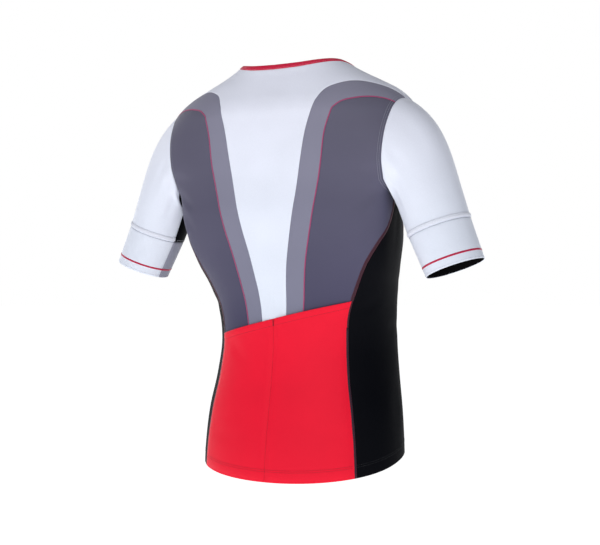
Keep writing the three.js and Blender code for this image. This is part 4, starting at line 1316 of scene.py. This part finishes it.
# ---------- sleeve trims ----------
for hand, place in both.items():
    stripe_at = CUFF_LENGTH - STRIPE_RISE - STRIPE_WIDTH / 2
    line, normals = ring_line(stripe_at, ROUND_ARM)
    obj = ribbon(f"cloth_cuff_stripe_{hand}", *placed(place, (line, normals)), STRIPE_WIDTH, 0.35,
                 STRIPE, closed=True)
    trim(obj, f"cuff_{hand}", stands_for=f"cuff_stripe_{hand}")
    line, normals = ring_line(-WELT_RISE - WELT_WIDTH / 2, MAIN_ARM)
    obj = ribbon(f"cloth_band_welt_{hand}", *placed(place, (line, normals)), WELT_WIDTH, 1.5,
                 WELT, profile=9)
    trim(obj, f"sleeve_{hand}", stands_for=f"band_welt_{hand}")
    rows = [placed(place, ring_line(0.4, MAIN_ARM, 0.0))]
    trim(stitches(f"stitch_band_{hand}", rows, STITCH_SLATE, 2.4, 2.2, 0.5, 0.35),
         f"cuff_{hand}")
    rows = [placed(place, ring_line(height, UNDER_ARM, 0.1)) for height in (-4.0, -1.4)]
    trim(stitches(f"stitch_under_{hand}", rows, STITCH_WHITE, 2.6, 2.2, 0.6, 0.4),
         f"cuff_underarm_{hand}")
    rows = [placed(place, ring_line(CUFF_LENGTH - 2.6, ROUND_ARM, 0.05))]
    trim(stitches(f"stitch_cuff_{hand}", rows, STITCH_WHITE, 2.8, 2.2, 0.45, 0.25),
         f"cuff_{hand}")

stitch_ring = NECK_RING + NECK_RISE * 1.3 + NECK_NORMALS * 0.75
trim(stitches("stitch_neck", [(stitch_ring, NECK_NORMALS)], STITCH_PINK, 2.6, 2.2, 0.6, 0.4),
     "neck_binding")

# A row of small plain dashes up the right band.
dash_line = on_form(spline([(-46, 74, -300), (-58, 78, -250), (-68, 80, -205)], 60))
trim(stitches("dashes_band_right", [laid(dash_line, -0.03)], STITCH_SLATE, 3.4, 1.6, 1.1, 0.12),
     "back_band_right")


# ---------- stage, light and camera ----------
CENTRE_HEIGHT = -0.337
FLOOR_HEIGHT = -1.35
FLOOR_RADIUS = 40
ROOM_LIGHT = 0.21      # strength of the room as light; it shows at full white
FLOOR_GLOW = 0.89      # brings the floor up to the background's white
CAMERA_DISTANCE = 2.5
CAMERA_TURN = math.radians(34.5)
LENS = 90.0
FRAME_SIZE = (600, 545)
AXIS_SHIFT = 7 / FRAME_SIZE[0]
HORIZON_SHIFT = -2.5 / FRAME_SIZE[0]


def floor():
    bpy.ops.mesh.primitive_circle_add(vertices=96, radius=FLOOR_RADIUS, fill_type="NGON",
                                      location=(0, 0, FLOOR_HEIGHT))
    obj = bpy.context.object
    obj.name = "floor"
    n = Nodes("floor_pale")
    place = n.add("ShaderNodeTexCoord").outputs["Object"]
    tone = n.ranged(n.noise(place, 0.7, 2.0), 0.3, 0.7, 0, 1)
    n.link(n.mix(tone, (0.86, 0.86, 0.87, 1), (0.88, 0.88, 0.885, 1)), n.shader.inputs["Base Color"])
    n.shader.inputs["Emission Color"].default_value = (1, 1, 1, 1)
    n.shader.inputs["Emission Strength"].default_value = FLOOR_GLOW
    obj.data.materials.append(n.finish(0.9, 0.0, 0.1))


def lamp(name, position, size, power, colour=(1, 1, 1)):
    light = bpy.data.lights.new(name, "AREA")
    light.shape = "RECTANGLE"
    light.size, light.size_y = size
    light.energy = power
    light.color = colour
    obj = bpy.data.objects.new(name, light)
    obj.location = position
    target = Vector((0, 0, CENTRE_HEIGHT))
    obj.rotation_euler = (target - Vector(position)).to_track_quat("-Z", "Y").to_euler()
    bpy.context.scene.collection.objects.link(obj)


def around(turn_degrees, distance, height):
    """A place round the object, with 0 at the camera's side and turning to its right."""
    turn = math.pi / 2 + CAMERA_TURN + math.radians(turn_degrees)
    return (distance * math.cos(turn), distance * math.sin(turn), height)


def studio():
    """A white room that shows as background, and is dimmer as light, with soft lamps from the left."""
    world = bpy.data.worlds.new("studio")
    world.use_nodes = True
    tree = world.node_tree
    shown = tree.nodes["Background"]
    shown.inputs["Color"].default_value = (1, 1, 1, 1)
    shown.inputs["Strength"].default_value = 1.0
    lighting = tree.nodes.new("ShaderNodeBackground")
    lighting.inputs["Color"].default_value = (0.95, 0.97, 1, 1)
    lighting.inputs["Strength"].default_value = ROOM_LIGHT
    path = tree.nodes.new("ShaderNodeLightPath")
    mix = tree.nodes.new("ShaderNodeMixShader")
    tree.links.new(path.outputs["Is Camera Ray"], mix.inputs[0])
    tree.links.new(lighting.outputs[0], mix.inputs[1])
    tree.links.new(shown.outputs[0], mix.inputs[2])
    tree.links.new(mix.outputs[0], tree.nodes["World Output"].inputs["Surface"])
    bpy.context.scene.world = world
    lamp("key", around(-34, 3.0, 0.7), (2.0, 2.2), 28, (1.0, 0.99, 0.98))
    lamp("fill", around(6, 3.6, -0.1), (1.6, 1.8), 9.5, (0.97, 0.98, 1.0))
    lamp("top", (0, 0.3, 2.4), (2.6, 2.6), 12, (0.97, 0.98, 1.0))
    lamp("far_right", around(150, 3.6, 0.8), (2.2, 2.0), 18, (0.98, 0.99, 1.0))
    lamp("far_left", around(215, 3.6, 0.6), (2.2, 2.0), 25, (0.98, 0.99, 1.0))


def camera():
    data = bpy.data.cameras.new("camera")
    data.lens = LENS
    data.sensor_width = 36
    data.shift_x = AXIS_SHIFT
    data.shift_y = HORIZON_SHIFT
    obj = bpy.data.objects.new("camera", data)
    obj.location = around(0, CAMERA_DISTANCE, CENTRE_HEIGHT)
    aim = Vector((0, 0, CENTRE_HEIGHT)) - Vector(obj.location)
    obj.rotation_euler = aim.to_track_quat("-Z", "Y").to_euler()
    bpy.context.scene.collection.objects.link(obj)
    bpy.context.scene.camera = obj


floor()
studio()
camera()
bpy.context.scene.view_settings.view_transform = "Standard"
